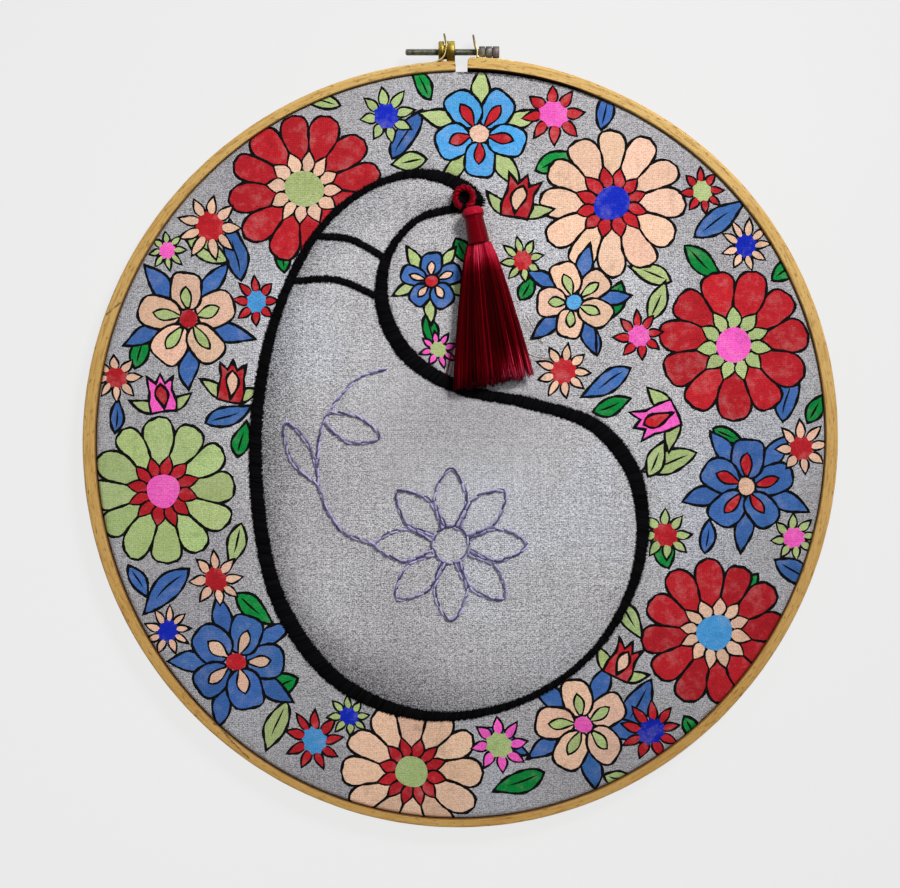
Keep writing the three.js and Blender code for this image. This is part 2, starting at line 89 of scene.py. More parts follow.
def set_attribute(mesh, name, values, kind="FLOAT", domain="CORNER", field="value"):
    mesh.attributes.new(name, kind, domain).data.foreach_set(field, np.ravel(values))


def add_piece(mesh, node):
    """Makes a smooth piece of a mesh, with its faces turned outwards, on the body."""
    work = bmesh.new()
    work.from_mesh(mesh)
    bmesh.ops.recalc_face_normals(work, faces=work.faces)
    work.to_mesh(mesh)
    work.free()
    mesh.polygons.foreach_set("use_smooth", [True] * len(mesh.polygons))
    piece = bpy.data.objects.new(mesh.name, mesh)
    bpy.context.scene.collection.objects.link(piece)
    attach(piece, BODY)
    if node:
        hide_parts(node)
    return piece


class Surface:
    """Collects points and faces for one piece, with a tone for each point."""

    def __init__(self):
        self.points, self.faces, self.tones = [], [], []
        self.count = 0

    def tube(self, rows, closed=False, tone=0.5):
        """A skin over rows of points, each row a ring; closed joins the last row to the first.

        The tone is one for all, one for each row or one for each point.
        """
        rows = np.asarray(rows, float)
        n, m = rows.shape[:2]
        index = self.count + np.arange(n * m).reshape(n, m)
        ahead = np.roll(index, -1, axis=0) if closed else index[1:]
        here = index if closed else index[:-1]
        quads = np.stack([here, np.roll(here, -1, 1), np.roll(ahead, -1, 1), ahead], -1)
        self.faces += quads.reshape(-1, 4).tolist()
        if not closed:
            self.faces += [index[0][::-1].tolist(), index[-1].tolist()]
        self.points.append(rows.reshape(-1, 3))
        tone = np.ravel(np.repeat(tone, m) if np.ndim(tone) == 1 else tone)
        self.tones.append(np.broadcast_to(tone, n * m))
        self.count += n * m

    def piece(self, name, material, node, slot):
        mesh = bpy.data.meshes.new(name)
        points = (np.concatenate(self.points) + HOOP_CENTRE) * MM
        mesh.from_pydata(points.tolist(), [], self.faces)
        set_attribute(mesh, "tone", np.concatenate(self.tones), domain="POINT")
        mesh.materials.append(material)
        add_piece(mesh, node)


def unit(rows, least=0.0):
    """Each row scaled to a length of 1; least keeps a row without length from being divided by 0."""
    return rows / (np.linalg.norm(rows, axis=1)[:, None] + least)


def to_left(ahead):
    """The directions a quarter turn to the left of these."""
    return np.stack([-ahead[:, 1], ahead[:, 0]], -1)


def run_along(path):
    """The length of a path up to each of its points."""
    return np.concatenate([[0], np.cumsum(np.linalg.norm(np.diff(path, axis=0), axis=1))])


def ring_angles(sides):
    return TAU * np.arange(sides) / sides


def thread_rows(path, radius, sides, plies=0, twist=0.0, depth=0.0, ends=0.5):
    """Rings round a path, the first and last narrowed to a share.

    Plies make it a cord with grooves of a depth, and twist is in turns per millimetre.
    """
    path = np.asarray(path, float)
    tangent = unit(np.gradient(path, axis=0), 1e-9)
    side = unit(np.cross(np.array([0, 0, 1.0]), tangent), 1e-9)
    up = np.cross(tangent, side)
    angle = ring_angles(sides)
    radii = np.broadcast_to(radius, (len(path),)).astype(float).copy()
    radii[0] *= ends
    radii[-1] *= ends
    wave = 1.0
    if plies:
        turn = angle[None, :] - TAU * twist * run_along(path)[:, None]
        wave = 1 - depth / 2 + depth / 2 * np.cos(plies * turn)
    reach = radii[:, None] * wave
    across = (reach * np.cos(angle))[..., None] * side[:, None, :]
    rise = (reach * np.sin(angle))[..., None] * up[:, None, :]
    return path[:, None, :] + across + rise


def smooth_path(points, count, closed=False):
    """Centripetal Catmull-Rom through the points, at even steps along its length."""
    knots = [np.array(p, float) for p in points]
    if closed:
        knots = [knots[-1], *knots, *knots[:2]]
    else:
        knots = [2 * knots[0] - knots[1], *knots, 2 * knots[-1] - knots[-2]]
    dense = []
    for p0, p1, p2, p3 in zip(knots, knots[1:], knots[2:], knots[3:]):
        t0, t1, t2 = (max(np.linalg.norm(b - a) ** 0.5, 1e-6) for a, b in ((p0, p1), (p1, p2), (p2, p3)))
        m1 = p2 - p1 + t1 * ((p1 - p0) / t0 - (p2 - p0) / (t0 + t1))
        m2 = p2 - p1 + t1 * ((p3 - p2) / t2 - (p3 - p1) / (t1 + t2))
        for t in np.linspace(0, 1, 24, endpoint=False):
            a, b = 2 * t ** 3 - 3 * t ** 2 + 1, t ** 3 - 2 * t ** 2 + t
            dense.append(a * p1 + b * m1 + (1 - a) * p2 + (t ** 3 - t ** 2) * m2)
    dense = np.array([*dense, knots[-2]])
    run = run_along(dense)
    marks = np.linspace(0, run[-1], count, endpoint=not closed)
    return np.stack([np.interp(marks, run, dense[:, k]) for k in range(dense.shape[1])], -1)


def turned(rows, sides):
    """Rings of a turned piece about the screw's axis: rows of distance along X and radius."""
    angle = ring_angles(sides)
    return np.array([np.stack([
        np.full(sides, along), SCREW_Y + radius * np.cos(angle), SCREW_Z + radius * np.sin(angle),
    ], -1) for along, radius in rows])


# ---------------- hoop forms

def form_radius(form, degrees, offset=0.0):
    radius = form[0] + offset
    for order, size, peak in form[1]:
        radius = radius + size * np.cos(np.radians(order * (degrees - peak)))
    return radius


def end_lift(degrees):
    """How far the hoop's right end springs outwards, at an angle."""
    t = np.clip((degrees - LIFT_FROM) / (RIGHT_END - LIFT_FROM), 0, 1)
    return END_LIFT * t * t * (3 - 2 * t)


def outer_radius(degrees):
    return form_radius(OUTER_FORM, degrees) + end_lift(degrees)


def bore_radius(degrees):
    return form_radius(SEAT_FORM, degrees) + BORE_LIFT * end_lift(degrees)


def polar(degrees, radius, z=0.0):
    a = np.radians(degrees)
    return np.stack(np.broadcast_arrays(radius * np.cos(a), radius * np.sin(a), z), -1)


# ---------------- material helpers

def srgb(red, green, blue):
    """A display colour, 0 to 255, as Blender's linear colour."""
    linear = [c / 3294.6 if c <= 10.31 else ((c / 255 + 0.055) / 1.055) ** 2.4 for c in (red, green, blue)]
    return (*linear, 1.0)


class Finish:
    """A material and short calls to build its nodes."""

    def __init__(self, name, **values):
        self.material = bpy.data.materials.new(name)
        self.material.use_nodes = True
        self.tree = self.material.node_tree
        self.shader = self.tree.nodes["Principled BSDF"]
        for socket, value in values.items():
            self.shader.inputs[socket.replace("_", " ")].default_value = value

    def put(self, socket, value):
        if isinstance(value, bpy.types.NodeSocket):
            self.tree.links.new(value, socket)
        else:
            socket.default_value = value

    def node(self, kind, settings=None, **inputs):
        node = self.tree.nodes.new(kind)
        for key, value in (settings or {}).items():
            setattr(node, key, value)
        for key, value in inputs.items():
            self.put(node.inputs[key.replace("_", " ")], value)
        return node

    def math(self, operation, *values, clamp=False):
        node = self.node("ShaderNodeMath", {"operation": operation, "use_clamp": clamp})
        for socket, value in zip(node.inputs, values):
            self.put(socket, value)
        return node.outputs[0]

    def plus(self, first, second):
        return self.math("ADD", first, second)

    def minus(self, first, second):
        return self.math("SUBTRACT", first, second)

    def times(self, first, second):
        return self.math("MULTIPLY", first, second)

    def linear(self, value, gain, base):
        return self.math("MULTIPLY_ADD", value, gain, base)

    def swing(self, value, size):
        """A value from 0 to 1 turned into one of a size, about 0."""
        return self.linear(value, size, -size / 2)

    def length(self, x, y):
        return self.math("SQRT", self.plus(self.times(x, x), self.times(y, y)))

    def mix(self, amount, first, second, blend="MIX"):
        node = self.node("ShaderNodeMix", {"data_type": "RGBA", "blend_type": blend})
        for socket, value in zip((node.inputs[0], node.inputs[6], node.inputs[7]), (amount, first, second)):
            self.put(socket, value)
        return node.outputs[2]

    def ramp(self, amount, *stops):
        """Stops along the amount, each a place and a colour; one number is a grey."""
        node = self.node("ShaderNodeValToRGB", Fac=amount)
        elements = node.color_ramp.elements
        while len(elements) < len(stops):
            elements.new(0.5)
        for element, (position, colour) in zip(elements, stops):
            element.position = position
            element.color = colour if np.ndim(colour) else (colour, colour, colour, 1.0)
        return node.outputs[0]

    def place(self):
        return self.node("ShaderNodeTexCoord").outputs["Object"]

    def noise(self, vector, scale, detail=2.0, roughness=0.5):
        """Noise of one scale, or of three along the axes."""
        if np.ndim(scale):
            vector = self.node("ShaderNodeMapping", Vector=vector, Scale=scale).outputs[0]
            scale = 1.0
        node = self.node("ShaderNodeTexNoise", Vector=vector, Scale=scale, Detail=detail, Roughness=roughness)
        return node.outputs[0]

    def attribute(self, name, output="Fac"):
        return self.node("ShaderNodeAttribute", {"attribute_name": name}).outputs[output]

    def axes(self, vector):
        return self.node("ShaderNodeSeparateXYZ", Vector=vector).outputs

    def bump(self, height, distance, strength):
        return self.node("ShaderNodeBump", Height=height, Distance=distance, Strength=strength).outputs[0]

    def surface(self, colour, roughness=None, normal=None):
        for socket, value in (("Base Color", colour), ("Roughness", roughness), ("Normal", normal)):
            if value is not None:
                self.put(self.shader.inputs[socket], value)
        return self.material


CRACK_WIDTH = 0.0005
# The two ends of each crack, an angle and a radius in millimetres.
CRACKS = [
    ((160.3, 154.2), (157.6, 150.2)), ((229.4, 152.6), (236.2, 155.6)), ((228.6, 153.2), (231.0, 151.6)),
]


def hoop_arc(degrees):
    """How far round the hoop an angle is from its foot, in metres."""
    return math.radians((270 - degrees + 180) % 360 - 180) * OUTER_FORM[0] * MM


def crack_line(f, arc, radius, ends):
    """A dark, dashed split between two places on the hoop."""
    (ax, ay), (bx, by) = ((hoop_arc(angle), reach * MM) for angle, reach in ends)
    length = math.hypot(bx - ax, by - ay)
    ux, uy = (bx - ax) / length, (by - ay) / length
    x, y = f.minus(arc, ax), f.minus(radius, ay)
    along = f.linear(x, ux, f.times(y, uy))
    across = f.linear(x, -uy, f.times(y, ux))
    wander = f.swing(f.noise(f.place(), 700.0), 0.0012)
    off = f.math("ABSOLUTE", f.plus(across, wander))
    line = f.math("SUBTRACT", 1.0, f.math("DIVIDE", off, CRACK_WIDTH), clamp=True)
    inside = f.times(f.math("GREATER_THAN", along, 0.0), f.math("LESS_THAN", along, length))
    dashes = f.ramp(f.noise(f.place(), 420.0), (0.36, 0.3), (0.55, 1))
    return f.times(f.times(line, inside), dashes)


def bamboo(name, light, dark, foot_shade):
    """Golden bamboo strip: long fibres round the hoop, darker flecks, painted shade along the inner edge, a
    painted shade towards the hoop's foot and scarf cracks.
    """
    f = Finish(name, Specular_IOR_Level=0.35, Coat_Weight=0.06, Coat_Roughness=0.35)
    x, y, z = f.axes(f.place())
    x, y = f.minus(x, HOOP_CENTRE[0] * MM), f.minus(y, HOOP_CENTRE[1] * MM)
    turn = f.math("ARCTAN2", f.times(x, -1.0), f.times(y, -1.0))
    radius = f.length(x, y)
    arc = f.times(turn, OUTER_FORM[0] * MM)
    place = f.node("ShaderNodeCombineXYZ", X=arc, Y=radius, Z=z).outputs[0]
    fibres = f.noise(place, (60, 2600, 2600), 4.0, 0.62)
    flecks = f.noise(place, (320, 1300, 1300), 3.0, 0.6)
    streaks = f.noise(place, (90, 900, 900))
    patches = f.noise(place, (28, 200, 200))
    # Painted shade: towards the hoop's foot the wood is tinted darker and browner, as the light falls from
    # the top.
    foot = f.linear(f.math("COSINE", turn), 0.5, 0.5)
    edge_shade = f.plus(f.attribute("tone"), f.swing(flecks, 0.6))
    colour = f.ramp(fibres, (0.3, dark), (0.62, light))
    layers = [
        (f.ramp(patches, (0.35, 0), (0.75, 0.6)), srgb(218, 184, 116)),
        (f.ramp(streaks, (0.3, 0.6), (0.48, 0)), srgb(158, 112, 46)),
        (f.ramp(flecks, (0.33, 0.8), (0.43, 0)), srgb(112, 74, 28)),
        (f.times(foot, foot_shade), srgb(196, 130, 44)),
        # Painted shade at the inner edge, from the tone: a light brown, then a dark brown where the tone is
        # high.
        (f.ramp(edge_shade, (0.2, 0), (0.5, 0.9)), srgb(158, 114, 58)),
        (f.ramp(edge_shade, (0.55, 0), (0.95, 1)), srgb(66, 34, 12)),
        *((crack_line(f, arc, radius, ends), srgb(58, 34, 12)) for ends in CRACKS),
    ]
    for amount, tint in layers:
        colour = f.mix(amount, colour, tint)
    height = f.plus(f.times(fibres, 0.7), f.times(flecks, 0.6))
    rough = f.ramp(flecks, (0.3, 0.7), (0.7, 0.5))
    return f.surface(colour, rough, f.bump(height, 0.00022, 0.8))


WEAVE_PITCH, WEAVE_RELIEF, WEAVE_BUMP = 0.00078, 0.00016, 0.7


def weave_height(f, x, y):
    """Plain weave: warp and weft threads crossing over and under."""
    wave_x, wave_y = (f.math("SINE", f.times(value, math.pi / WEAVE_PITCH)) for value in (x, y))
    over = f.linear(f.times(wave_x, wave_y), 0.5, 0.5)
    warp = f.times(f.math("ABSOLUTE", wave_x), over)
    return f.plus(warp, f.times(f.math("ABSOLUTE", wave_y), f.minus(1.0, over)))


def painted_cloth():
    """Cotton with paint and marker on it: paint, cover, ink, and pencil shading together with the painted
    shade in the slit behind the lifted hoop end, come from the mesh.
    """
    f = Finish("painted_cloth", Roughness=0.92, Specular_IOR_Level=0.15)
    place = f.place()
    x, y, _ = f.axes(place)
    bend = f.swing(f.noise(place, 90.0), 0.0012)
    weave = weave_height(f, f.plus(x, bend), f.minus(y, bend))
    warp_slubs = f.noise(place, (2900, 1700, 0), 2.0, 0.6)
    weft_slubs = f.noise(place, (1300, 2900, 40), 2.0, 0.6)
    threads = f.times(f.plus(warp_slubs, weft_slubs), 0.5)
    grain = f.ramp(threads, (0.41, 0), (0.59, 1))
    runs = f.plus(f.noise(place, (900, 25, 0)), f.noise(place, (25, 900, 0)))
    paint, cover = f.attribute("paint", "Color"), f.attribute("cover")
    ink, pencil_and_slit_shade = f.attribute("ink"), f.attribute("pencil_and_slit_shade")

    # The bare cloth is cloudy, darker towards the hoop as a painted shade of the light falling off, and a
    # little darker at its middle.
    clouds = f.noise(place, 13.0, 3.0, 0.55)
    greys = (0.32, srgb(166, 164, 169)), (0.5, srgb(176, 175, 178)), (0.68, srgb(183, 185, 193))
    bare = f.ramp(clouds, *greys)
    reach = f.math("DIVIDE", f.length(x, y), face_edge(0) * MM)
    rim_and_middle_darkening = f.ramp(reach, (0.05, 0.9), (0.2, 1), (0.6, 1), (0.78, (0.86, 0.86, 0.87, 1)))
    bare = f.mix(1.0, bare, rim_and_middle_darkening, "MULTIPLY")

    # Paint is thin in places and pooled in others; ink isn't.
    wash = f.noise(place, 170.0, 4.0, 0.65)
    thinned = f.mix(0.4, paint, srgb(214, 200, 196))
    dilute = f.mix(f.ramp(wash, (0.5, 0), (0.75, 0.4)), paint, thinned)
    dense = f.mix(0.75, dilute, (0, 0, 0, 1), "MULTIPLY")
    pooled = f.mix(f.ramp(wash, (0.28, 0.3), (0.45, 0)), dilute, dense)
    worked = f.mix(ink, pooled, paint)
    # Pencil shading and the painted shade in the slit both darken the cloth towards a dark grey.
    pencil_and_shade_amount = f.math("MULTIPLY", pencil_and_slit_shade, f.linear(grain, -0.75, 1.25), clamp=True)
    colour = f.mix(pencil_and_shade_amount, f.mix(cover, bare, worked), srgb(44, 44, 47))

    # The threads' light and dark shows less at the middle and the edge, under paint and under ink; the
    # weave's hollows are darker and its crossings lighter, a painted shade.
    coarse = f.ramp(reach, (0.2, 0.7), (0.35, 1), (0.78, 1), (0.95, 0.8))
    depth = f.times(f.linear(cover, -0.85, 1.38), coarse)
    depth = f.times(depth, f.linear(ink, -0.8, 1.0))
    shade = 1.0
    for height, middle, share in ((grain, 0.5, 1.0), (runs, 1.0, 0.3), (weave, 0.6, 0.25)):
        shade = f.linear(f.minus(height, middle), f.times(depth, share), shade)
    tint = f.node("ShaderNodeCombineColor", Red=shade, Green=shade, Blue=shade).outputs[0]
    colour = f.mix(1.0, colour, tint, "MULTIPLY")
    height = f.plus(weave, f.times(threads, 0.8))
    return f.surface(colour, None, f.bump(height, WEAVE_RELIEF, WEAVE_BUMP))


def plain_cotton():
    """The cloth's unpainted back and turned-down rim."""
    f = Finish("plain_cotton", Roughness=0.92, Specular_IOR_Level=0.2, Sheen_Weight=0.1)
    place = f.place()
    x, y, _ = f.axes(place)
    weave = weave_height(f, x, y)
    # The weave's hollows are a little darker here too: a painted shade.
    tone = f.linear(weave, 0.2, f.times(f.noise(place, 20.0, 3.0), 0.8))
    colour = f.ramp(tone, (0.3, srgb(146, 146, 150)), (0.7, srgb(182, 183, 188)))
    return f.surface(colour, None, f.bump(weave, WEAVE_RELIEF, WEAVE_BUMP))


def thread_finish(name, colours, roughness, sheen, mottle=0.6, specular=0.4, gloss=(1, 1, 1, 1)):
    """Thread: a colour for each tone, dark to light, finely mottled, with a sheen and tinted gloss."""
    f = Finish(name, Roughness=roughness, Specular_IOR_Level=specular, Sheen_Weight=sheen,
               Sheen_Roughness=0.4, Specular_Tint=gloss)
    fibres = f.noise(f.place(), 2200.0, 2.0, 0.6)
    tone = f.plus(f.attribute("tone"), f.swing(fibres, mottle))
    places = np.linspace(0.1, 0.9, len(colours)).tolist()
    colour = f.ramp(tone, *((position, srgb(*c)) for position, c in zip(places, colours)))
    return f.surface(colour, None, f.bump(fibres, 0.00008, 0.6))


def metal(name, base, dark, roughness, scratch, marks, tint=None, tone_darkening=0.0):
    """Plated metal, darker in its patches of wear and, with a darkening, by its tone: painted shade on the
    nut, and darker towards the lugs' ends on the brackets; a tint is for high tones.
    """
    f = Finish(name, Metallic=1.0)
    place, tone = f.place(), f.attribute("tone")
    patches = f.noise(place, 420.0, 4.0, 0.6)
    lines = f.noise(place, scratch, 3.0, 0.6)
    colour = f.mix(f.ramp(patches, (0.4, 0), (0.68, marks)), base, dark)
    if tint:
        here = f.ramp(f.noise(place, 240.0), (0.42, 0), (0.6, 0.6))
        colour = f.mix(f.times(here, f.math("GREATER_THAN", tone, 0.5)), colour, tint)
    # The tone darkens the colour: painted shade on the nut, and the lugs' ends on the brackets.
    if tone_darkening:
        colour = f.mix(f.math("MULTIPLY", tone, tone_darkening, clamp=True), colour, dark)
    rough = f.linear(patches, 0.35, roughness)
    return f.surface(colour, rough, f.bump(lines, 0.00004, 0.5))


# ---------------- camera, light and floor

FLOOR_HALF = 12  # metres


def stage_scene():
    scene = bpy.context.scene
    scene.view_settings.view_transform = "Standard"
    camera = bpy.data.objects.new("camera", bpy.data.cameras.new("camera"))
    scene.collection.objects.link(camera)
    camera.location = (-0.0042, -0.0060, 0.8792)
    camera.data.lens = 85
    camera.data.sensor_width = 36
    camera.data.clip_start = 0.05
    scene.camera = camera

    world = bpy.data.worlds.new("studio")
    world.use_nodes = True
    world.node_tree.nodes["Background"].inputs["Color"].default_value = (0.97, 0.98, 1.0, 1.0)
    world.node_tree.nodes["Background"].inputs["Strength"].default_value = 0.3
    scene.world = world
    key = bpy.data.lights.new("key", "SPOT")
    key.energy, key.shadow_soft_size = 63, 0.18
    key.spot_size, key.spot_blend = math.radians(33.5), 1.0
    fill = bpy.data.lights.new("fill", "SUN")
    fill.energy, fill.angle = 0.3, math.radians(60)
    lamps = (key, (0.5, 0.68, 0.85), (0.005, 0.07, 0.0)), (fill, (-0.9, 0.2, 0.7), (0, 0, 0))
    for lamp, place, aim in lamps:
        lamp.color = (1.0, 0.985, 0.96)
        light = bpy.data.objects.new(lamp.name, lamp)
        light.location = place
        light.rotation_euler = (Vector(aim) - Vector(place)).to_track_quat("-Z", "Y").to_euler()
        scene.collection.objects.link(light)

    f = Finish("floor", Roughness=0.9, Specular_IOR_Level=0.1)
    f.shader.inputs["Emission Color"].default_value = srgb(236, 236, 236)
    f.shader.inputs["Emission Strength"].default_value = 0.922
    mottle = f.noise(f.place(), 6.0)
    f.surface(f.ramp(mottle, (0.3, (0.07, 0.07, 0.071, 1)), (0.7, 0.075)))
    mesh = bpy.data.meshes.new("floor")
    corners = [(x * FLOOR_HALF, y * FLOOR_HALF, 0) for x, y in ((-1, -1), (1, -1), (1, 1), (-1, 1))]
    mesh.from_pydata(corners, [], [(0, 1, 2, 3)])
    mesh.materials.append(f.material)
    floor = bpy.data.objects.new("floor", mesh)
    floor.location.z = -0.0002
    scene.collection.objects.link(floor)


# ---------------- the painted design, a generic one

INK_WIDTH = 1.1
FINE_INK = 0.8
COLOURS = {
    "bare": (168, 167, 171), "ink": (9, 9, 11), "crimson": (184, 32, 42), "lime": (172, 192, 128),
    "peach": (232, 190, 164), "blue": (62, 104, 172), "pink": (245, 96, 196), "green": (8, 138, 60),
    "royal": (18, 40, 178), "sky": (76, 158, 222),
}
FLOWERS = [
    ("daisy", 112, 40, 31, 8, 11, "crimson", "lime", "pink"),
    ("daisy", 62, 98, 30, 0, 12, "peach", "crimson", "royal"),
    ("blossom", 8, 127, 21, 54, "sky", "crimson", "peach", "lime"),
    ("daisy", -64, 104, 31, 10, 12, "crimson", "peach", "lime"),
    ("blossom", -112, 50, 22, 20, "peach", "lime", "crimson", "blue"),
    ("daisy", -122, -20, 30, 4, 12, "lime", "crimson", "pink"),
    ("blossom", -92, -90, 22, 0, "blue", "peach", "crimson", "blue"),
    ("daisy", -20, -135, 29, 0, 12, "peach", "crimson", "lime"),
    ("blossom", 50, -116, 21, 30, "peach", "lime", "pink", "blue"),
    ("daisy", 104, -78, 30, 6, 12, "crimson", "peach", "sky"),
    ("blossom", 117, -18, 21, 14, "blue", "crimson", "peach", "blue"),
    ("blossom", 47, 58, 18, 40, "peach", "lime", "sky", "blue"),
    ("blossom", -12, 66, 13.5, 18, "blue", "peach", "crimson", "lime"),
    ("tulip", 88, 12, 17, 200, "pink", "crimson", "lime"),
    ("tulip", 22, 92, 17, 75, "crimson", "peach", "lime"),
    ("tulip", -122, 12, 15, 95, "pink", "crimson", "lime"),
    ("star", 38, 134, 12, 5, 8, "crimson", "pink"),
    ("star", -103, 88, 13, 0, 9, "peach", "crimson"),
    ("star", -30, 134, 11, 12, 8, "lime", "royal"),
    ("star", 140, -2, 11, 5, 8, "peach", "crimson"),
    ("star", -100, -56, 11, 5, 8, "peach", "crimson"),
    ("star", -60, -122, 12, 5, 9, "crimson", "sky"),
    ("star", 84, -38, 10, 5, 8, "lime", "crimson"),
    ("star", 78, -118, 12, 9, 9, "crimson", "royal"),
    ("star", 16, -124, 11, 9, 8, "pink", "lime"),
    ("star", 42, 29, 10.5, 0, 9, "peach", "crimson"),
    ("star", 25, 75, 9, 10, 8, "lime", "crimson"),
    ("star", 73, 44, 10, 6, 8, "crimson", "pink"),
    ("tulip", -95, 17, 15, 82, "crimson", "peach", "lime"),
    ("star", 117, 81, 10.5, 0, 9, "peach", "royal"),
    ("star", -84, 58, 9.5, 0, 8, "crimson", "sky"),
    ("star", -9, 38, 8, 12, 8, "pink", "lime"),
    ("star", -120, -77, 10, 4, 9, "peach", "royal"),
    ("star", 137, -39, 9.5, 5, 8, "lime", "pink"),
    ("star", -141, 26, 9.5, 5, 8, "peach", "crimson"),
    ("tulip", 63, -96, 15, 62, "crimson", "peach", "lime"),
    ("star", -46, -112, 8, 5, 8, "lime", "royal"),
    ("star", 99, 103, 9, 5, 8, "crimson", "lime"),
    ("star", -120, 78, 8, 5, 8, "lime", "pink"),
]
LOOSE_LEAVES = [
    (96, 84, 26, 10, 35, "blue"), (92, 80, 20, 8, -40, "green"), (86, 66, 18, 8, 160, "lime"),
    (30, 112, 20, 8, 20, "green"), (-28, 116, 24, 9, 60, "blue"), (-90, 66, 26, 10, 100, "blue"),
    (-96, 74, 20, 8, 150, "lime"), (-134, 30, 18, 8, 70, "green"), (-104, 8, 20, 8, 20, "blue"),
    (-112, -52, 26, 10, 225, "blue"), (-92, -62, 20, 8, 320, "green"), (-72, -106, 22, 9, 250, "lime"),
    (10, -118, 20, 8, 330, "blue"), (34, -136, 22, 9, 200, "green"), (78, -98, 26, 10, 240, "blue"),
    (86, -52, 20, 8, 110, "green"), (128, -48, 24, 9, 330, "blue"), (96, -4, 24, 9, 200, "lime"),
    (132, 8, 24, 9, 80, "blue"), (70, 30, 24, 9, 210, "blue"), (66, 66, 18, 8, 250, "green"),
    (-14, 52, 14, 7, 285, "green"), (-26, 82, 15, 7, 80, "lime"), (-2, 84, 14, 7, 300, "green"),
    (54, 12, 17, 7, 20, "green"), (76, -14, 17, 7, 60, "lime"), (100, -46, 15, 7, 80, "blue"),
    (-90, -34, 17, 7, 255, "lime"), (-136, -50, 16, 7, 300, "blue"), (-91, -6, 15, 7, 80, "green"),
    (-66, -96, 18, 8, 205, "green"), (-50, 138, 17, 7, 160, "lime"), (-12, 141, 16, 7, 120, "green"),
    (58, 128, 17, 7, 80, "blue"), (78, 50, 17, 7, 70, "lime"), (122, -54, 15, 7, 230, "green"),
    (66, -66, 17, 7, 300, "lime"), (142, 8, 13, 6, 60, "green"), (-142, 4, 14, 6, 80, "blue"),
    (24, 58, 12, 6, 60, "green"), (56, 36, 12, 6, 100, "blue"), (128, 66, 16, 7, 40, "green"),
    (-72, 70, 14, 6, 100, "green"), (-14, 116, 15, 7, 190, "lime"), (104, 6, 14, 6, 330, "green"),
    (-110, -106, 14, 6, 200, "lime"), (58, -136, 15, 7, 340, "lime"), (92, -112, 14, 6, 300, "green"),
]
painted = []  # colour and outline of each patch, later ones over earlier ones

PAINTED_SKIRT = 5.0  # how far down the rim the painted cloth goes
BEND_LENGTH = CLOTH_BEND * math.pi / 2
# Rings of the cloth's edge, from the lowest painted one up to the flat face, as lengths past that face.
RIMS = [BEND_LENGTH + PAINTED_SKIRT, BEND_LENGTH + 0.01, *(BEND_LENGTH * k / 4 for k in (3, 2, 1)), 0]


def face_edge(degrees):
    """Where the flat face ends and the bend into the rim starts."""
    return form_radius(SEAT_FORM, degrees, -GAP - CLOTH_BEND)


def spun(points, x, y, degrees):
    c, s = math.cos(math.radians(degrees)), math.sin(math.radians(degrees))
    return [(x + u * c - v * s, y + u * s + v * c) for u, v in points]


def drift(x, y):
    """The small waver of a hand-drawn line."""
    dx = 0.45 * math.sin(0.21 * x + 0.13 * y) + 0.3 * math.sin(0.37 * y - 0.11 * x + 1.7)
    dy = 0.45 * math.sin(0.19 * y - 0.15 * x + 0.6) + 0.3 * math.sin(0.33 * x + 0.09 * y + 2.9)
    return x + dx, y + dy


def uneven(x, y):
    """A marker's pressure, about 1, along its lines."""
    return 1 + 0.2 * math.sin(0.55 * x + 0.83 * y) + 0.14 * math.sin(1.7 * x - 1.1 * y + 0.4)


def eased(points, step=1.4):
    """A closed outline with points added so that none are further apart than a step."""
    dense = []
    for (ax, ay), (bx, by) in zip(points, points[1:] + points[:1]):
        parts = max(1, math.ceil(math.hypot(bx - ax, by - ay) / step))
        dense += [(ax + (bx - ax) * k / parts, ay + (by - ay) * k / parts) for k in range(parts)]
    return dense


def clearances(spots, points):
    """How far each spot is from the nearest side of a closed outline."""
    start = np.array(points)
    side = np.roll(start, -1, axis=0) - start
    offset = np.array(spots)[:, None] - start[None]
    share = np.clip((offset * side).sum(2) / np.maximum((side * side).sum(1), 1e-12), 0, 1)
    return np.linalg.norm(offset - share[..., None] * side, axis=2).min(1)


def grown(points, distance):
    """A closed outline, counter-clockwise, moved out by a distance; corners keep a short mitre."""
    if not distance:
        return points
    moved, reaches = [], []
    for i, (x, y) in enumerate(points):
        (ax, ay), (bx, by) = points[i - 1], points[(i + 1) % len(points)]
        ux, uy, vx, vy = x - ax, y - ay, bx - x, by - y
        lu, lv = math.hypot(ux, uy) or 1, math.hypot(vx, vy) or 1
        nx, ny = uy / lu + vy / lv, -ux / lu - vx / lv
        size = math.hypot(nx, ny) or 1
        wide = distance * uneven(x, y)
        reach = wide * min(2.0 / size, 1.7) / size
        moved.append((x + nx * reach, y + ny * reach))
        reaches.append(abs(wide))
    clear = clearances(moved, points) > 0.85 * np.array(reaches)
    return [spot for spot, kept in zip(moved, clear) if kept]


def twice_area(points):
    return sum(ax * by - bx * ay for (ax, ay), (bx, by) in zip(points, points[1:] + points[:1]))


def within(spots, outline):
    """Which of the spots lie inside a closed outline."""
    start, end = outline, np.roll(outline, -1, axis=0)
    x, y = spots[:, 0, None], spots[:, 1, None]
    spans = (start[:, 1] > y) != (end[:, 1] > y)
    rise = end[:, 1] - start[:, 1]
    crossing = start[:, 0] + (y - start[:, 1]) / np.where(rise, rise, 1) * (end[:, 0] - start[:, 0])
    return (spans & (x < crossing)).sum(1) % 2 == 1


def held_in(x, y):
    """A point, drawn back to the painted cloth's edge if it is past it."""
    limit = face_edge(math.degrees(math.atan2(y, x))) + RIMS[0] - 0.05
    share = min(1.0, limit / (math.hypot(x, y) or 1))
    return x * share, y * share


def lay(colour, points):
    """Adds a patch of one colour, unless it has shrunk away."""
    points = [held_in(x, y) for x, y in points]
    if len(points) > 2 and twice_area(points) > 0.4:
        painted.append((colour, points))


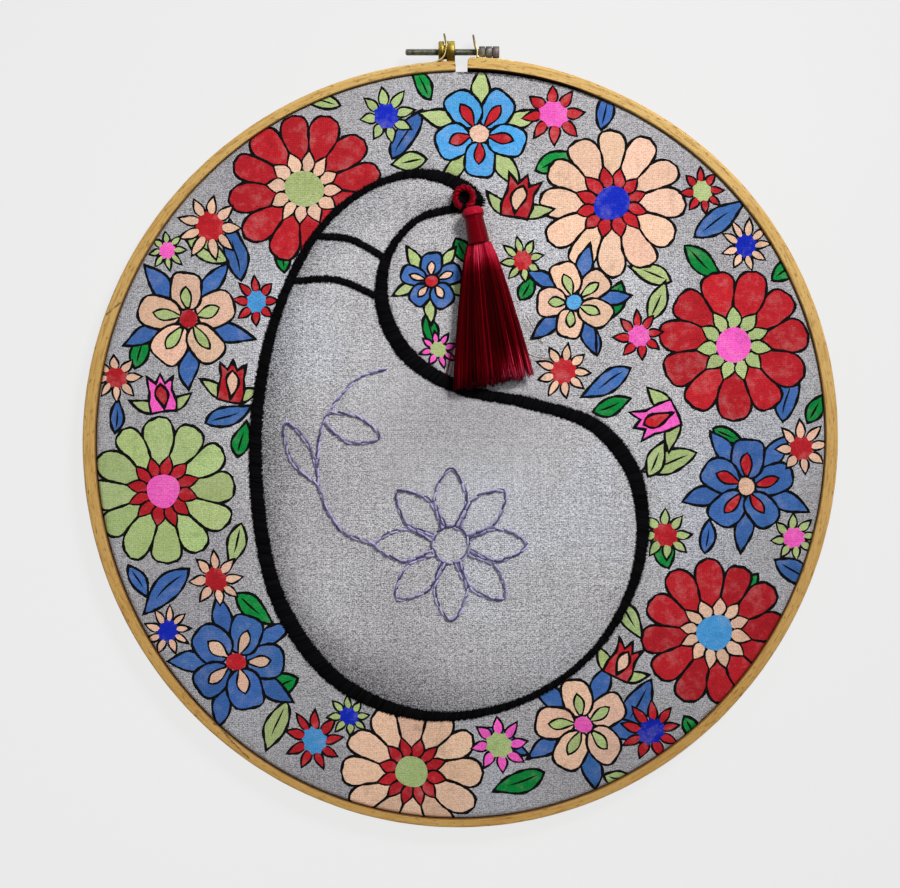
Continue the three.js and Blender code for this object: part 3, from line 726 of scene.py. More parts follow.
def patch(points, colour, line=INK_WIDTH):
    """A patch of paint inside a marker line."""
    points = [drift(x, y) for x, y in eased(points)]
    if line:
        lay("ink", grown(points, line / 2))
    lay(colour, grown(points, -line / 2))


def petal(x, y, turn, start, length, width, shape="round", n=19):
    """A petal's outline from its root to its tip and back, about the flower's middle."""
    side = []
    for t in (i / (n - 1) for i in range(n)):
        if shape == "round":
            half = (0.34 + 0.66 * math.sin(min(t * 1.25, 1) * math.pi / 2)) * math.sqrt(max(0.0, 1 - t ** 7))
        elif shape == "leaf":
            half = math.sin(math.pi * t ** 0.8)
        else:
            half = math.sin(math.pi * t ** 1.5) ** 0.8
        side.append((start + t * (length - start), width / 2 * half))
    outline = [(r, -h) for r, h in side] + [(r, h) for r, h in reversed(side) if h > 0.05]
    return spun(outline, x, y, turn)


def disc(x, y, radius, colour, teeth=0):
    n = 2 * teeth or 32
    reach = [radius * (1.22 if teeth and i % 2 else 1) for i in range(n)]
    outline = [(x + r * math.cos(TAU * i / n), y + r * math.sin(TAU * i / n)) for i, r in enumerate(reach)]
    patch(outline, colour, 0)


def daisy(x, y, size, turn, count, outer, inner, eye):
    step = 360 / count
    for i in range(count):
        patch(petal(x, y, turn + step * i, size * 0.34, size, 4.99 * size / count), outer)
    for i in range(count):
        leaf = petal(x, y, turn + step * (i + 0.5), size * 0.2, size * 0.5, 2.2 * size / count, "leaf", 11)
        patch(leaf, inner, FINE_INK)
    disc(x, y, size * 0.24, eye)


def blossom(x, y, size, turn, outer, inner, eye, leaves):
    turns = [turn + 72 * i for i in range(5)]
    for way in turns:
        patch(petal(x, y, way + 36, size * 0.5, size * 1.3, size * 0.36, "leaf"), leaves)
    heart = []
    for k in range(26):
        t = TAU * k / 26
        r = size * (0.36 + 0.06 * math.cos(2 * t) - 0.10 * max(0.0, math.cos(t)) ** 6)
        heart.append((size * 0.58 + r * math.cos(t), r * 1.05 * math.sin(t)))
    for way in turns:
        patch(spun(heart, x, y, way), outer)
    for way in turns:
        patch(petal(x, y, way, size * 0.12, size * 0.64, size * 0.22, "drop", 11), inner, FINE_INK)
    disc(x, y, size * 0.17, eye)


def tulip(x, y, size, turn, outer, inner, leaf_colour):
    for side in (-62, 62):
        patch(petal(x, y, turn + side, size * 0.1, size * 0.95, size * 0.34, "leaf"), leaf_colour)
    cup = [(0, 0.34), (0.3, 0.37), (0.62, 0.32), (1.02, 0.4), (0.82, 0.14), (1.08, 0)]
    outline = [(u * size, -v * size) for u, v in cup] + [(u * size, v * size) for u, v in cup[-2::-1]]
    patch(spun(outline, x, y, turn), outer)
    patch(petal(x, y, turn, size * 0.08, size * 0.8, size * 0.36, "drop", 8), inner)


def star(x, y, size, turn, count, outer, eye):
    for i in range(count):
        point = petal(x, y, turn + 360 * i / count, size * 0.3, size * 1.04, size * 2.9 / count, "leaf", 11)
        patch(point, outer, FINE_INK)
    disc(x, y, size * 0.4, eye, count)


MOTIFS = {"daisy": daisy, "blossom": blossom, "tulip": tulip, "star": star}


def paint_design():
    for x, y, length, width, turn, colour in LOOSE_LEAVES:
        patch(petal(x, y, turn, 0, length, width, "leaf", 15), colour)
        patch(petal(x, y, turn, length * 0.12, length * 0.72, 0.9, "leaf", 6), "ink", 0)
    for kind, *rest in FLOWERS:
        MOTIFS[kind](*rest)
    lay("bare", smooth_path(PAISLEY, 160, closed=True).tolist())


# ---------------- cloth

RIM_STEPS = 720
PRESSED = 0.24  # the rim is pressed out against the outer hoop
FOLLOWED = 1.12  # the rim springs a little further than the lifted bore
WEAVE_GRID, GRID_HALF = 2.4, 160
TRIANGLE_HEIGHT = 0.866  # of an even triangle, as a share of its side
RIPPLE, RIPPLE_LENGTH = 0.1, 26  # the face's soft waves
SPRING_DEPTH, SPRING_FADE = 3.5, 1.6  # millimetres down the rim, and degrees past the hoop's end
# Pencil shading: its depth inside the outline, that depth's waver, its depth outside, and its side.
PENCIL_DEPTH, PENCIL_WAVER, PENCIL_OUTSIDE, PENCIL_SIDE = 21, 6, 6.0, np.array([-0.85, -0.5])


def spring(degrees, depth):
    """How far the rim springs out behind the lifted hoop end, at a depth below the face."""
    turn = degrees % 360
    end = RIGHT_END - 360
    fading = END_LIFT * np.clip(1 - (turn - end) / SPRING_FADE, 0, 1)
    lift = np.where(turn <= end, end_lift(turn + 360), fading)
    return FOLLOWED * BORE_LIFT * lift * np.clip(depth / SPRING_DEPTH, 0, 1)


def spread(points):
    """Each flat point's angle, its distance from the middle and how far past the face it is."""
    degrees = np.degrees(np.arctan2(points[:, 1], points[:, 0]))
    flat = np.hypot(points[:, 0], points[:, 1])
    return degrees, flat, flat - face_edge(degrees)


def folded(points):
    """Flat points past the face's edge folded over the bend and down the rim."""
    degrees, flat, over = spread(points)
    over = np.clip(over, 0, None)
    turn = np.clip(over / CLOTH_BEND, 0, math.pi / 2)
    drop = over - turn * CLOTH_BEND
    radius = np.minimum(flat, face_edge(degrees)) + CLOTH_BEND * np.sin(turn)
    z = CLOTH_FACE - CLOTH_BEND * (1 - np.cos(turn)) - drop
    return polar(degrees, radius + spring(degrees, drop) + PRESSED * np.clip(drop / 2, 0, 1), z)


def graphite_tone(points, outline):
    """Soft pencil shading inside the outline, on its side away from the light, and a little outside."""
    outward = unit(-to_left(np.roll(outline, -1, 0) - np.roll(outline, 1, 0)))
    offset = points[:, None, :2] - outline[None]
    distance = np.linalg.norm(offset, axis=2)
    nearest = distance.argmin(1)
    rows = np.arange(len(points))
    side = (offset[rows, nearest] * outward[nearest]).sum(1)
    away = outward[nearest] @ PENCIL_SIDE
    waver = PENCIL_WAVER * np.sin(nearest * TAU / len(outline) * 5)
    depth = np.where(side < 0, PENCIL_DEPTH + waver, PENCIL_OUTSIDE)
    fade = np.clip(1 - distance[rows, nearest] / depth, 0, 1) ** 1.5
    inside = fade * np.clip(0.34 + 0.8 * away, 0, 1)
    return np.where(side < 0, inside, fade * np.clip(0.2 - 0.5 * away, 0, 0.6)) * 0.9


def rim_shade(points):
    """The bend's shade in the slit behind the lifted hoop end."""
    degrees, _, over = spread(points)
    return np.clip(over / 0.5 - 0.3, 0, 1) * np.clip(spring(degrees, CLOTH_FACE) / 0.06, 0, 1)


def flat_cloth():
    """The cloth laid flat and cut along its paint: points, faces and each face's top patch."""
    points, edges = [], []

    def trace(outline):
        start, count = len(points), len(outline)
        edges.extend((start + i, start + (i + 1) % count) for i in range(count))
        points.extend(outline)

    angles = np.arange(RIM_STEPS) * 360 / RIM_STEPS
    for rim in RIMS:
        trace(polar(angles, face_edge(angles) + rim)[:, :2].tolist())
    for row in range(int(2 * GRID_HALF / (WEAVE_GRID * TRIANGLE_HEIGHT))):
        y = -GRID_HALF + row * WEAVE_GRID * TRIANGLE_HEIGHT
        for column in range(int(2 * GRID_HALF / WEAVE_GRID)):
            x = -GRID_HALF + (column + 0.5 * (row % 2)) * WEAVE_GRID
            if math.hypot(x, y) < face_edge(math.degrees(math.atan2(y, x))) - 1:
                points.append((x, y))
    for _, outline in painted:
        trace(outline)
    made, _, faces, *_ = delaunay_2d_cdt([Vector(p) for p in points], edges, [], 0, 1e-4, False)
    flat = np.array([tuple(v) for v in made])
    faces = [list(face) for face in faces]
    centres = flat[np.array(faces)].mean(1)
    top_patch = np.full(len(faces), -1)
    for i, (_, outline) in enumerate(painted):
        outline = np.array(outline)
        near = np.where((centres > outline.min(0)).all(1) & (centres < outline.max(0)).all(1))[0]
        top_patch[near[within(centres[near], outline)]] = i
    return flat, faces, top_patch


def hem_rings(degrees):
    """Rings from the painted rim down to the hem, back up inside, and in over the back."""
    inside = form_radius(SEAT_FORM, degrees, -GAP - CLOTH_THICKNESS)
    hem_radius = inside + PRESSED + spring(degrees, CLOTH_FACE)
    underside = CLOTH_FACE - CLOTH_THICKNESS
    hem = CLOTH_HEM + 0.25 * np.sin(np.radians(degrees) * 17) * np.sin(np.radians(degrees) * 41)
    rings = [(hem_radius + CLOTH_THICKNESS, hem), (hem_radius, hem), (inside, underside - 0.6)]
    rings += [(inside - 0.2, underside - 0.2), (inside - 0.6, underside)]
    rings += [(inside * share, underside) for share in (0.66, 0.33, 0.04)]
    return [polar(degrees, radius, z) for radius, z in rings]


def paint_faces(mesh, top_patch):
    """Gives each face's corners the colour, cover and ink of its top patch."""
    paint = np.ones((len(mesh.loops), 4))
    cover, ink = np.zeros((2, len(mesh.loops)))
    rng = random.Random(7)
    shades = []
    for colour, _ in painted:
        tint = [rng.uniform(0.97, 1.03) for _ in range(3)] if colour != "ink" else [1, 1, 1]
        tint = np.array(tint) * rng.uniform(0.86, 1.08)
        shades.append(np.array(srgb(*COLOURS[colour])) * (*tint, 1))
    for face, patch_index in zip(mesh.polygons, top_patch):
        colour = painted[patch_index][0] if patch_index >= 0 else "bare"
        if colour != "bare":
            corners = slice(face.loop_start, face.loop_start + face.loop_total)
            paint[corners] = shades[patch_index]
            cover[corners] = 1
            ink[corners] = colour == "ink"
    set_attribute(mesh, "paint", paint, "FLOAT_COLOR", field="color")
    set_attribute(mesh, "cover", cover)
    set_attribute(mesh, "ink", ink)


def make_cloth():
    paint_design()
    flat, faces, top_patch = flat_cloth()
    painted_faces = len(faces)
    points = folded(flat)
    degrees, _, over = spread(flat)
    degrees = degrees % 360
    below = np.where(over > RIMS[0] - 0.02)[0]
    below = below[np.argsort(degrees[below])]
    for ring in hem_rings(degrees[below]):
        index = len(points) + np.arange(len(ring))
        points = np.concatenate([points, ring])
        faces += np.stack([below, np.roll(below, -1), np.roll(index, -1), index], -1).tolist()
        below = index
    faces.append(below[::-1].tolist())
    on_face = points[:, 2] > CLOTH_FACE - 0.001
    spots = points[on_face, :2] / RIPPLE_LENGTH
    points[on_face, 2] += [RIPPLE * noise.noise(Vector((x, y, 3.0))) for x, y in spots]

    mesh = bpy.data.meshes.new("cloth_painted")
    mesh.from_pydata(((points + HOOP_CENTRE) * MM).tolist(), [], faces)
    pencil_and_slit_shade = np.zeros(len(points))
    pencil = graphite_tone(flat, smooth_path(PAISLEY, 420, closed=True))
    # The pencil shading and the painted shade of the slit are kept in one attribute.
    pencil_and_slit_shade[:len(flat)] = np.maximum(pencil, rim_shade(flat))
    set_attribute(mesh, "pencil_and_slit_shade", pencil_and_slit_shade, domain="POINT")
    paint_faces(mesh, top_patch)
    mesh.materials.append(painted_cloth())
    mesh.materials.append(plain_cotton())
    mesh.polygons.foreach_set("material_index", (np.arange(len(faces)) >= painted_faces).astype(int))
    cloth = add_piece(mesh, "cloth")


# ---------------- hoops

SHADED_SHARE = 0.4  # how much of the inner edge's rounding gets painted shade
# The brackets' seats: their heights, their depth and the angles that they run between.
SEAT_LOW, SEAT_HIGH, SEAT_DEPTH = 0.7, 9.3, 0.8
SEATS = [(93.0, 97.7), (360 + 81.9, 360 + 87.9)]


def dents(x, y, z):
    """The coarse and fine unevenness of the bamboo, about 0."""
    return noise.noise(Vector((x / 9, y / 9, z / 3))) + 0.5 * noise.noise(Vector((x / 2.5, y / 2.5, z)))


def hoop_piece(name, node, slot, material, degrees, inner, outer, depth, edges, rough, seats=()):
    """A bent strip of rounded section, a closed ring if it has no seats for brackets.

    Inner and outer are its radii at each angle, and edges the roundings of its outer and inner side.
    A place in the section is a share of the way out, an inset from there and a height.
    """
    outer_edge, inner_edge = edges
    section = [(1, 0.3 * outer_edge, 0.3 * outer_edge), (1, 0, outer_edge), (1, 0, depth / 2)]
    for turn in (0, 22, 45, 68, 90):
        c, s = math.cos(math.radians(turn)), math.sin(math.radians(turn))
        section.append((1, outer_edge * (1 - c), depth - outer_edge * (1 - s)))
    section += [(0.65, 0, depth), (0.4, 0, depth), (0, inner_edge + 0.1, depth)]
    for turn in (90, 45, 0):
        c, s = math.cos(math.radians(turn)), math.sin(math.radians(turn))
        section.append((0, inner_edge * (1 - c), depth - inner_edge * (1 - s)))
    section += [(0, 0, depth / 2), (0, 0, inner_edge), (0, 0.3 * inner_edge, 0.3 * inner_edge)]
    section += [(0, inner_edge, 0), (0.5, 0, 0), (1, outer_edge, 0)]
    rows = []
    for angle, low, high in zip(degrees, inner, outer):
        cut = any(first < angle < last for first, last in seats)
        a = math.radians(angle)
        keen = 0.72 + 0.28 * math.sin(a)  # the outer rounding is tighter towards the hoop's foot
        ring = []
        for share, inset, z in section:
            if share == 1 and z > depth / 2:
                inset, z = inset * keen, depth - (depth - z) * keen
            if cut and share == 1 and SEAT_LOW < z < SEAT_HIGH:
                inset = max(inset, SEAT_DEPTH)
            radius = {0: low + inset, 1: high - inset}.get(share, low + (high - low) * share)
            dent = dents(radius * math.cos(a), radius * math.sin(a), z)
            radius += rough * dent
            height = z + rough * dent * (z > depth / 2)
            ring.append((radius * math.cos(a), radius * math.sin(a), height))
        rows.append(ring)
    shaded_points = np.array([float(share == 0 and inset <= inner_edge * SHADED_SHARE) for share, inset, _ in section])
    # The painted shade at the inner edge is faint at the upper right, stronger at the lower left and full at
    # the sprung end, standing for the shadow line by the cloth and the dark slit behind that end.
    angle_shade = 0.5 - 0.25 * np.cos(np.radians(degrees - 60))
    sprung = np.maximum(angle_shade, np.clip(end_lift(degrees) / 0.5, 0, 1))
    surface = Surface()
    surface.tube(rows, closed=not seats, tone=shaded_points * sprung[:, None])
    surface.piece(name, material, node, slot)


def rounded_end(degrees, end, size, inward):
    """How far an end's outer corner falls away at an angle."""
    along = np.radians((degrees - end) * inward) * OUTER_FORM[0]
    t = np.clip(1 - along / size, 0, 1)
    return size * (1 - np.sqrt(1 - t * t))


def make_hoops():
    degrees = [*np.linspace(LEFT_END, RIGHT_END, 900)]
    degrees += [edge + side for seat in SEATS for edge in seat for side in (-0.02, 0.02)]
    for step in (0, 0.05, 0.12, 0.2, 0.3, 0.45, 0.6):
        degrees += [LEFT_END + step, RIGHT_END - step]
    degrees = np.unique(np.round(degrees, 4))
    outer = outer_radius(degrees) - rounded_end(degrees, LEFT_END, LEFT_CORNER, 1)
    outer -= rounded_end(degrees, RIGHT_END, RIGHT_CORNER, -1)
    wood = bamboo("outer_bamboo", srgb(212, 174, 98), srgb(184, 142, 70), 0.3)
    hoop_piece("hoop_outer_bamboo", "outer_hoop", "outer_bamboo", wood, degrees,
               bore_radius(degrees), outer, HOOP_DEPTH, (1.35, 0.35), 0.06, SEATS)
    degrees = np.arange(720) / 2
    outside = form_radius(SEAT_FORM, degrees, -2 * GAP - CLOTH_THICKNESS)
    wood = bamboo("inner_bamboo", srgb(212, 178, 112), srgb(188, 146, 80), 0.2)
    hoop_piece("hoop_inner_bamboo", "inner_hoop", "inner_bamboo", wood, degrees,
               outside - INNER_WIDTH, outside, CLOTH_FACE - CLOTH_THICKNESS - GAP, (0.9, 0.9), 0.05)


# ---------------- screw, nut and brackets

THREAD_PITCH, THREAD_DEPTH, ROD_SIDES = 0.5, 0.3, 28
HEAD_BANDS, BAND_GROOVE, GROOVE_DEPTH, HEAD_SIDES = 3, 0.26, 0.7, 84
ROD_TONE, HEAD_TONE = 0.45, 0.6
NUT_SIDES = 96


def make_screw():
    surface = Surface()
    rows = [(ROD_LEFT, 0.55), (ROD_LEFT + 0.15, 0.95), (ROD_LEFT + 0.35, 1.12)]
    for along in np.arange(ROD_LEFT + 0.5, HEAD_LEFT + 0.05, THREAD_PITCH / 6):
        phase = (along / THREAD_PITCH - ring_angles(ROD_SIDES) / TAU) % 1
        thread = np.abs(phase * 2 - 1)
        rows.append((along, ROD_RADIUS - THREAD_DEPTH * np.clip(1.25 * thread - 0.1, 0, 1)))
    surface.tube(turned(rows, ROD_SIDES), tone=ROD_TONE)
    band = (HEAD_RIGHT - HEAD_LEFT) / HEAD_BANDS
    grip = HEAD_RADIUS - 0.04 + 0.07 * np.cos(np.arange(HEAD_SIDES) * TAU / 3)
    rows = []
    for i in range(HEAD_BANDS):
        left = HEAD_LEFT + i * band
        last = i == HEAD_BANDS - 1
        right = left + band - (0 if last else BAND_GROOVE)
        rows += [(left, HEAD_RADIUS - 0.16), (left + 0.1, grip), (left + band * 0.4, grip)]
        rows += [(right - 0.1, grip), (right, HEAD_RADIUS - 0.16)]
        if not last:
            rows += [(right + step, HEAD_RADIUS - GROOVE_DEPTH) for step in (0, BAND_GROOVE)]
    rows += [(HEAD_RIGHT, 1.35), (HEAD_RIGHT - 0.25, 1.2), (HEAD_RIGHT - 0.25, 0.2)]
    surface.tube(turned(rows, HEAD_SIDES), tone=HEAD_TONE)
    plate = srgb(134, 136, 122), srgb(52, 54, 44), 0.4, (5000, 300, 300), 0.8, srgb(124, 104, 118)
    surface.piece("screw_threaded", metal("screw_plate", *plate), "screw", "steel_screw")


def make_nut(brass):
    """Turned drums and a neck, each with a flat side towards the hoop; the nut is darker away from its top, a
    painted shade.
    """
    bore, up = ROD_RADIUS - 0.1, np.cos(ring_angles(NUT_SIDES))
    surface = Surface()
    for left, right, radius, flat in NUT_PARTS:
        rows = [(left, bore), (left, radius - 0.45), (left + 0.12, radius - 0.18), (left + 0.4, radius)]
        rows += [(right - 0.4, radius), (right - 0.12, radius - 0.18), (right, radius - 0.45), (right, bore)]
        side = max(flat, bore + 0.1) / np.clip(-up, 0.01, 1)
        # Painted shade: darker away from the top, which faces out from the hoop towards the light.
        nut_shade = np.tile(np.clip(1 - 2.2 * up, 0, 1), (len(rows), 1))
        rings = turned([(along, np.minimum(reach, side)) for along, reach in rows], NUT_SIDES)
        surface.tube(rings, closed=True, tone=nut_shade)
    surface.piece("nut_turned", brass, "nut", "brass_fitting")


BRACKET_THICKNESS, BRACKET_WIDTH, BRACKET_EDGE = 0.62, 8.0, 0.14
# The rivet's dome, as radii and heights over the hoop.
RIVET = [(1.5, 0.0), (1.5, 0.2), (1.35, 0.36), (1.0, 0.46), (0.4, 0.5)]
# The strip's base, its foot and its rivet as angles round the hoop, then the lug's line.
BRACKETS = {
    "bracket_left": (97.4, 93.4, 96.2, [
        (-7.0, 158.1), (-6.1, 160.6), (-5.75, 163.0), (-6.3, 165.6), (-6.85, 168.1),
    ]),
    "bracket_right": (442.2, 447.5, 443.2, [(6.9, 160.1), (6.0, 162.9), (5.55, 165.2), (5.1, 167.6)]),
}


def make_bracket(node, brass, base, foot, rivet, lug):
    surface = Surface()
    half, edge = BRACKET_THICKNESS / 2, BRACKET_EDGE
    line = [polar(a, outer_radius(a) - half)[:2] for a in base + (foot - base) * np.array([0, 0.4, 0.8])]
    path = smooth_path([*line, polar(foot, outer_radius(foot) + half)[:2], *lug], 90)
    section = []
    for across, up in ((-1, -1), (1, -1), (1, 1), (-1, 1)):
        corner = [(half, edge), (half - edge, 0)] if across * up > 0 else [(half - edge, 0), (half, edge)]
        section += [(across * a, SCREW_Z + up * (BRACKET_WIDTH / 2 - b)) for a, b in corner]
    reach = run_along(path)
    narrow = np.clip((reach[-1] - reach) / 2.6, 0.02, 1) ** 0.5
    rows = []
    for point, normal, share in zip(path, unit(to_left(np.gradient(path, axis=0))), narrow):
        rows.append([(*(point + normal * a), SCREW_Z + (z - SCREW_Z) * share) for a, z in section])
    # The strip is darker towards the lug's end.
    surface.tube(rows, tone=np.clip((reach - reach[-1] + 6.5) / 3, 0, 1))
    angle = ring_angles(24)
    tangent, outward = polar(rivet + 90, 1.0), polar(rivet, 1.0)
    dome = []
    for radius, height in RIVET:
        ring = np.cos(angle)[:, None] * tangent + np.sin(angle)[:, None] * np.array([0, 0, 1.0])
        ring = outward * (outer_radius(rivet) + height) + radius * ring
        ring[:, 2] += SCREW_Z
        dome.append(ring)
    surface.tube(dome, tone=0)
    surface.piece(f"{node}_brass", brass, node, "brass_fitting")


# ---------------- black satin stitching

# Each line's points, its number of stitches, whether it is closed, and its widths if no pen sets them.
SATIN_LINES = [
    (PAISLEY, 1360, True, None),
    *((band, 90, False, (BAND_WIDTH, BAND_WIDTH)) for band in NECK_BANDS),
    ([(-3, 100.2), (1.5, 99.8), (5.6, 98)], 44, False, (7.6, 3.0)),
]
SATIN_THREAD, FUZZ_THREAD = 0.27, 0.07
SATIN_RISE, SATIN_SUNK = 1.02, 0.12
PADDING = [(-0.9, 8.62), (0.9, 8.62), (0.86, 8.9), (0.5, 9.3), (-0.5, 9.3), (-0.86, 8.9)]


def satin_row(surface, rng, centre, across, half, lift, tone):
    """One stitch over the padding, its ends sunk in the cloth."""
    left, right = half + rng.uniform(-0.28, 0.4), half + rng.uniform(-0.28, 0.4)
    share = np.array([-1, -0.86, -0.5, 0, 0.5, 0.86, 1])
    reach = np.where(share < 0, share * left, share * right)
    height = CLOTH_FACE - SATIN_SUNK + lift * (1 - np.abs(share) ** 3.2)
    path = np.stack([centre[0] + across[0] * reach, centre[1] + across[1] * reach, height], -1)
    surface.tube(thread_rows(path, SATIN_THREAD, 5), tone=tone)


def fuzz_hair(surface, rng, point, across, ahead, width):
    """A short hair that stands out of a stitch's end."""
    share = rng.choice((-1, 1)) * rng.uniform(0.85, 1.05)
    start = point + across * share * width / 2
    way = across * share + ahead * rng.uniform(-1.4, 1.4)
    way = way / np.linalg.norm(way) * rng.uniform(0.3, 0.9)
    z = CLOTH_FACE + rng.uniform(0.1, 0.5)
    hair = [(*start, z), (*(start + way * 0.5), z + 0.1), (*(start + way), CLOTH_FACE + 0.05)]
    surface.tube(thread_rows(hair, FUZZ_THREAD, 3), tone=rng.uniform(0, 0.4))


def make_satin(finish):
    rng = random.Random(11)
    surface, fuzz = Surface(), Surface()
    for points, count, closed, ends in SATIN_LINES:
        path = smooth_path(points, count, closed)
        ahead = unit((np.roll(path, -1, 0) - np.roll(path, 1, 0)) if closed else np.gradient(path, axis=0))
        turn = np.arctan2(ahead[:, 1], ahead[:, 0]) - math.radians(PEN_ANGLE)
        drawn = SATIN_SLIM + (SATIN_BROAD - SATIN_SLIM) * np.sin(turn) ** 2
        width = np.linspace(*ends, count) if ends else drawn
        normal = to_left(ahead)
        padding = []
        for i in range(0, len(path), 4):
            padding.append([(*(path[i] + normal[i] * a * (width[i] / 2)), z) for a, z in PADDING])
        surface.tube(padding, closed=closed, tone=0.1)
        for i, (point, across) in enumerate(zip(path, normal)):
            lean = across + ahead[i] * (0.22 + 0.06 * math.sin(i * 0.05))
            lift = SATIN_RISE * (0.82 + 0.18 * min(width[i] / 4, 1)) + rng.uniform(-0.06, 0.06)
            satin_row(surface, rng, point, lean, width[i] / 2, lift, rng.uniform(0.1, 0.8))
            for _ in range(2):
                fuzz_hair(fuzz, rng, point, across, ahead[i], width[i])
    surface.piece("satin_stitches", finish, "satin_outline", "black_thread")
    fuzz.piece("satin_fuzz", finish, None, "black_thread")


# ---------------- lavender back stitching

THREAD_RADIUS, PLY_TURNS, STITCH_LENGTH = 0.72, 0.3, 3.7
LINE_POINTS, STITCH_POINTS = 400, 12
MIDDLE, EYE, TIP, PETALS, PETAL_SPREAD = (-4, -42), 7.5, 31, 8, 6.6
STEM = [(-34.8, -42), (-49, -36), (-58, -18), (-56, 8), (-42, 26), (-30, 30)]
SPRIG_LEAVES = [
    [(-58, -18), (-69, -8), (-72, 8), (-63, 0), (-58, -14)],
    [(-56, 8), (-46, 0), (-33, 2), (-41, 10), (-54, 12.5)],
]


def flower_lines():
    middle = (EYE + TIP) / 2
    petal_line = [(EYE, -2), (middle, -PETAL_SPREAD), (TIP, 0), (middle, PETAL_SPREAD), (EYE, 2)]
    petals = [spun(petal_line, *MIDDLE, 360 * i / PETALS) for i in range(PETALS)]
    eye = [(EYE * math.cos(TAU * i / 12), EYE * math.sin(TAU * i / 12)) for i in range(13)]
    return [STEM, *SPRIG_LEAVES, *petals, [(MIDDLE[0] + x, MIDDLE[1] + y) for x, y in eye]]


def make_flower(finish):
    rng = random.Random(5)
    surface = Surface()
    for line in flower_lines():
        path = smooth_path(line, LINE_POINTS)
        length = np.linalg.norm(np.diff(path, axis=0), axis=1).sum()
        stitches = max(2, round(length / STITCH_LENGTH))
        for k in range(stitches):
            first, last = (int((LINE_POINTS - 1) * end / stitches) for end in (k, k + 1))
            run = path[np.linspace(first, last, STITCH_POINTS).astype(int)]
            run = run + np.array([rng.gauss(0, 0.1), rng.gauss(0, 0.1)])
            share = np.linspace(-1, 1, STITCH_POINTS)
            z = CLOTH_FACE - 0.1 + 0.72 * (1 - np.abs(share) ** 5) + rng.uniform(-0.04, 0.04)
            ahead = np.gradient(run, axis=0)
            normal = to_left(ahead) / np.linalg.norm(ahead, axis=1)[:, None]
            start = rng.uniform(0, TAU)
            # One ply is darker and the other lighter: a painted shade and a painted highlight for the
            # stitch's shaded and lit edges.
            for ply, tone in enumerate((rng.uniform(0.0, 0.35), rng.uniform(0.6, 1.0))):
                turn = start + ply * math.pi + share * PLY_TURNS * math.pi
                offset = THREAD_RADIUS * 0.5 * np.cos(turn)
                height = z + THREAD_RADIUS * 0.3 * np.sin(turn)
                line = np.column_stack([run + normal * offset[:, None], height])
                swell = THREAD_RADIUS * (0.4 + 0.18 * np.sqrt(np.clip(1 - share ** 2, 0, 1)))
                surface.tube(thread_rows(line, swell, 8, ends=0.85), tone=tone)
    surface.piece("lavender_stitches", finish, "stitched_flower", "lavender_thread")


# ---------------- tassel

TASSEL_Z = 10.2
LOOP_X, LOOP_Y, LOOP_HALF_WIDTH, LOOP_HALF_HEIGHT, LOOP_CORD = 1.4, 99.9, 3.6, 4.0, 1.4
HEAD_TOP, HEAD_BOTTOM, HEAD_THICK = np.array([4.5, 95.6]), np.array([7.4, 81.3]), 4.4
SKIRT_END = np.array([13.4, 24.9])
SKIRT_TOP, SKIRT_BOTTOM, SKIRT_FLARE = 4.8, 17.1, 0.8
SKIRT_TOP_DEPTH, SKIRT_BOTTOM_DEPTH = 7.4, 6.4
END_SLANT = 0.02  # the skirt is a little shorter at its right
STRANDS, LOCKS, STRAND_RADII, STRAND_POINTS = 3200, 140, (0.15, 0.2), 10
# The bound head's radius along it, as shares of its length and of its thickness.
HEAD_SHARES = [-0.02, 0.0, 0.05, 0.12, 0.2, 0.27, 0.36, 0.62, 1.0, 1.03]
HEAD_WIDTHS = [0.3, 0.62, 0.84, 0.96, 0.98, 0.9, 0.86, 0.94, 1.0, 0.9]
HEAD_ROWS, WINDING_PITCH, BOUND_FROM = 180, 0.46, 0.26
LOOP_POINTS, STRAY_POINTS, STRAY_RADIUS = 90, 26, 0.13
STRAYS = [
    [(25.5, 38), (28.5, 35.6), (33, 34.4), (37.5, 34.2)], [(26.4, 52), (30, 46), (33.5, 40.5)],
    [(-1.8, 43), (-3.6, 37), (-5.0, 31), (-6.4, 24.8)], [(-1.6, 42), (-3.3, 36.6), (-4.7, 31), (-6.0, 24.2)],
    [(-1.9, 44), (-3.9, 37), (-5.3, 30.6), (-6.2, 25.8)], [(-1.2, 40), (-2.8, 34), (-3.9, 29), (-4.5, 26.6)],
]


def skirt_spot(rng):
    """A place in the skirt's rounded section, most of them near its surface."""
    u = math.sin(rng.uniform(-0.5, 0.5) * math.pi) * 0.3 + rng.uniform(-1, 1) * 0.7
    reach = math.sqrt(max(0.0, 1 - u * u))
    if rng.random() < 0.75:
        return u, reach * (rng.choice((1, 1, -1)) * rng.uniform(0.5, 1))
    return u, reach * rng.uniform(-0.5, 0.5)


def skirt_lock(rng):
    """A lock of strands: its place, its sway and the sway's phase, its extra length and its tone."""
    return (*skirt_spot(rng), rng.gauss(0, 0.22), rng.uniform(0, TAU), rng.gauss(0, 0.01), rng.gauss(0, 0.1))


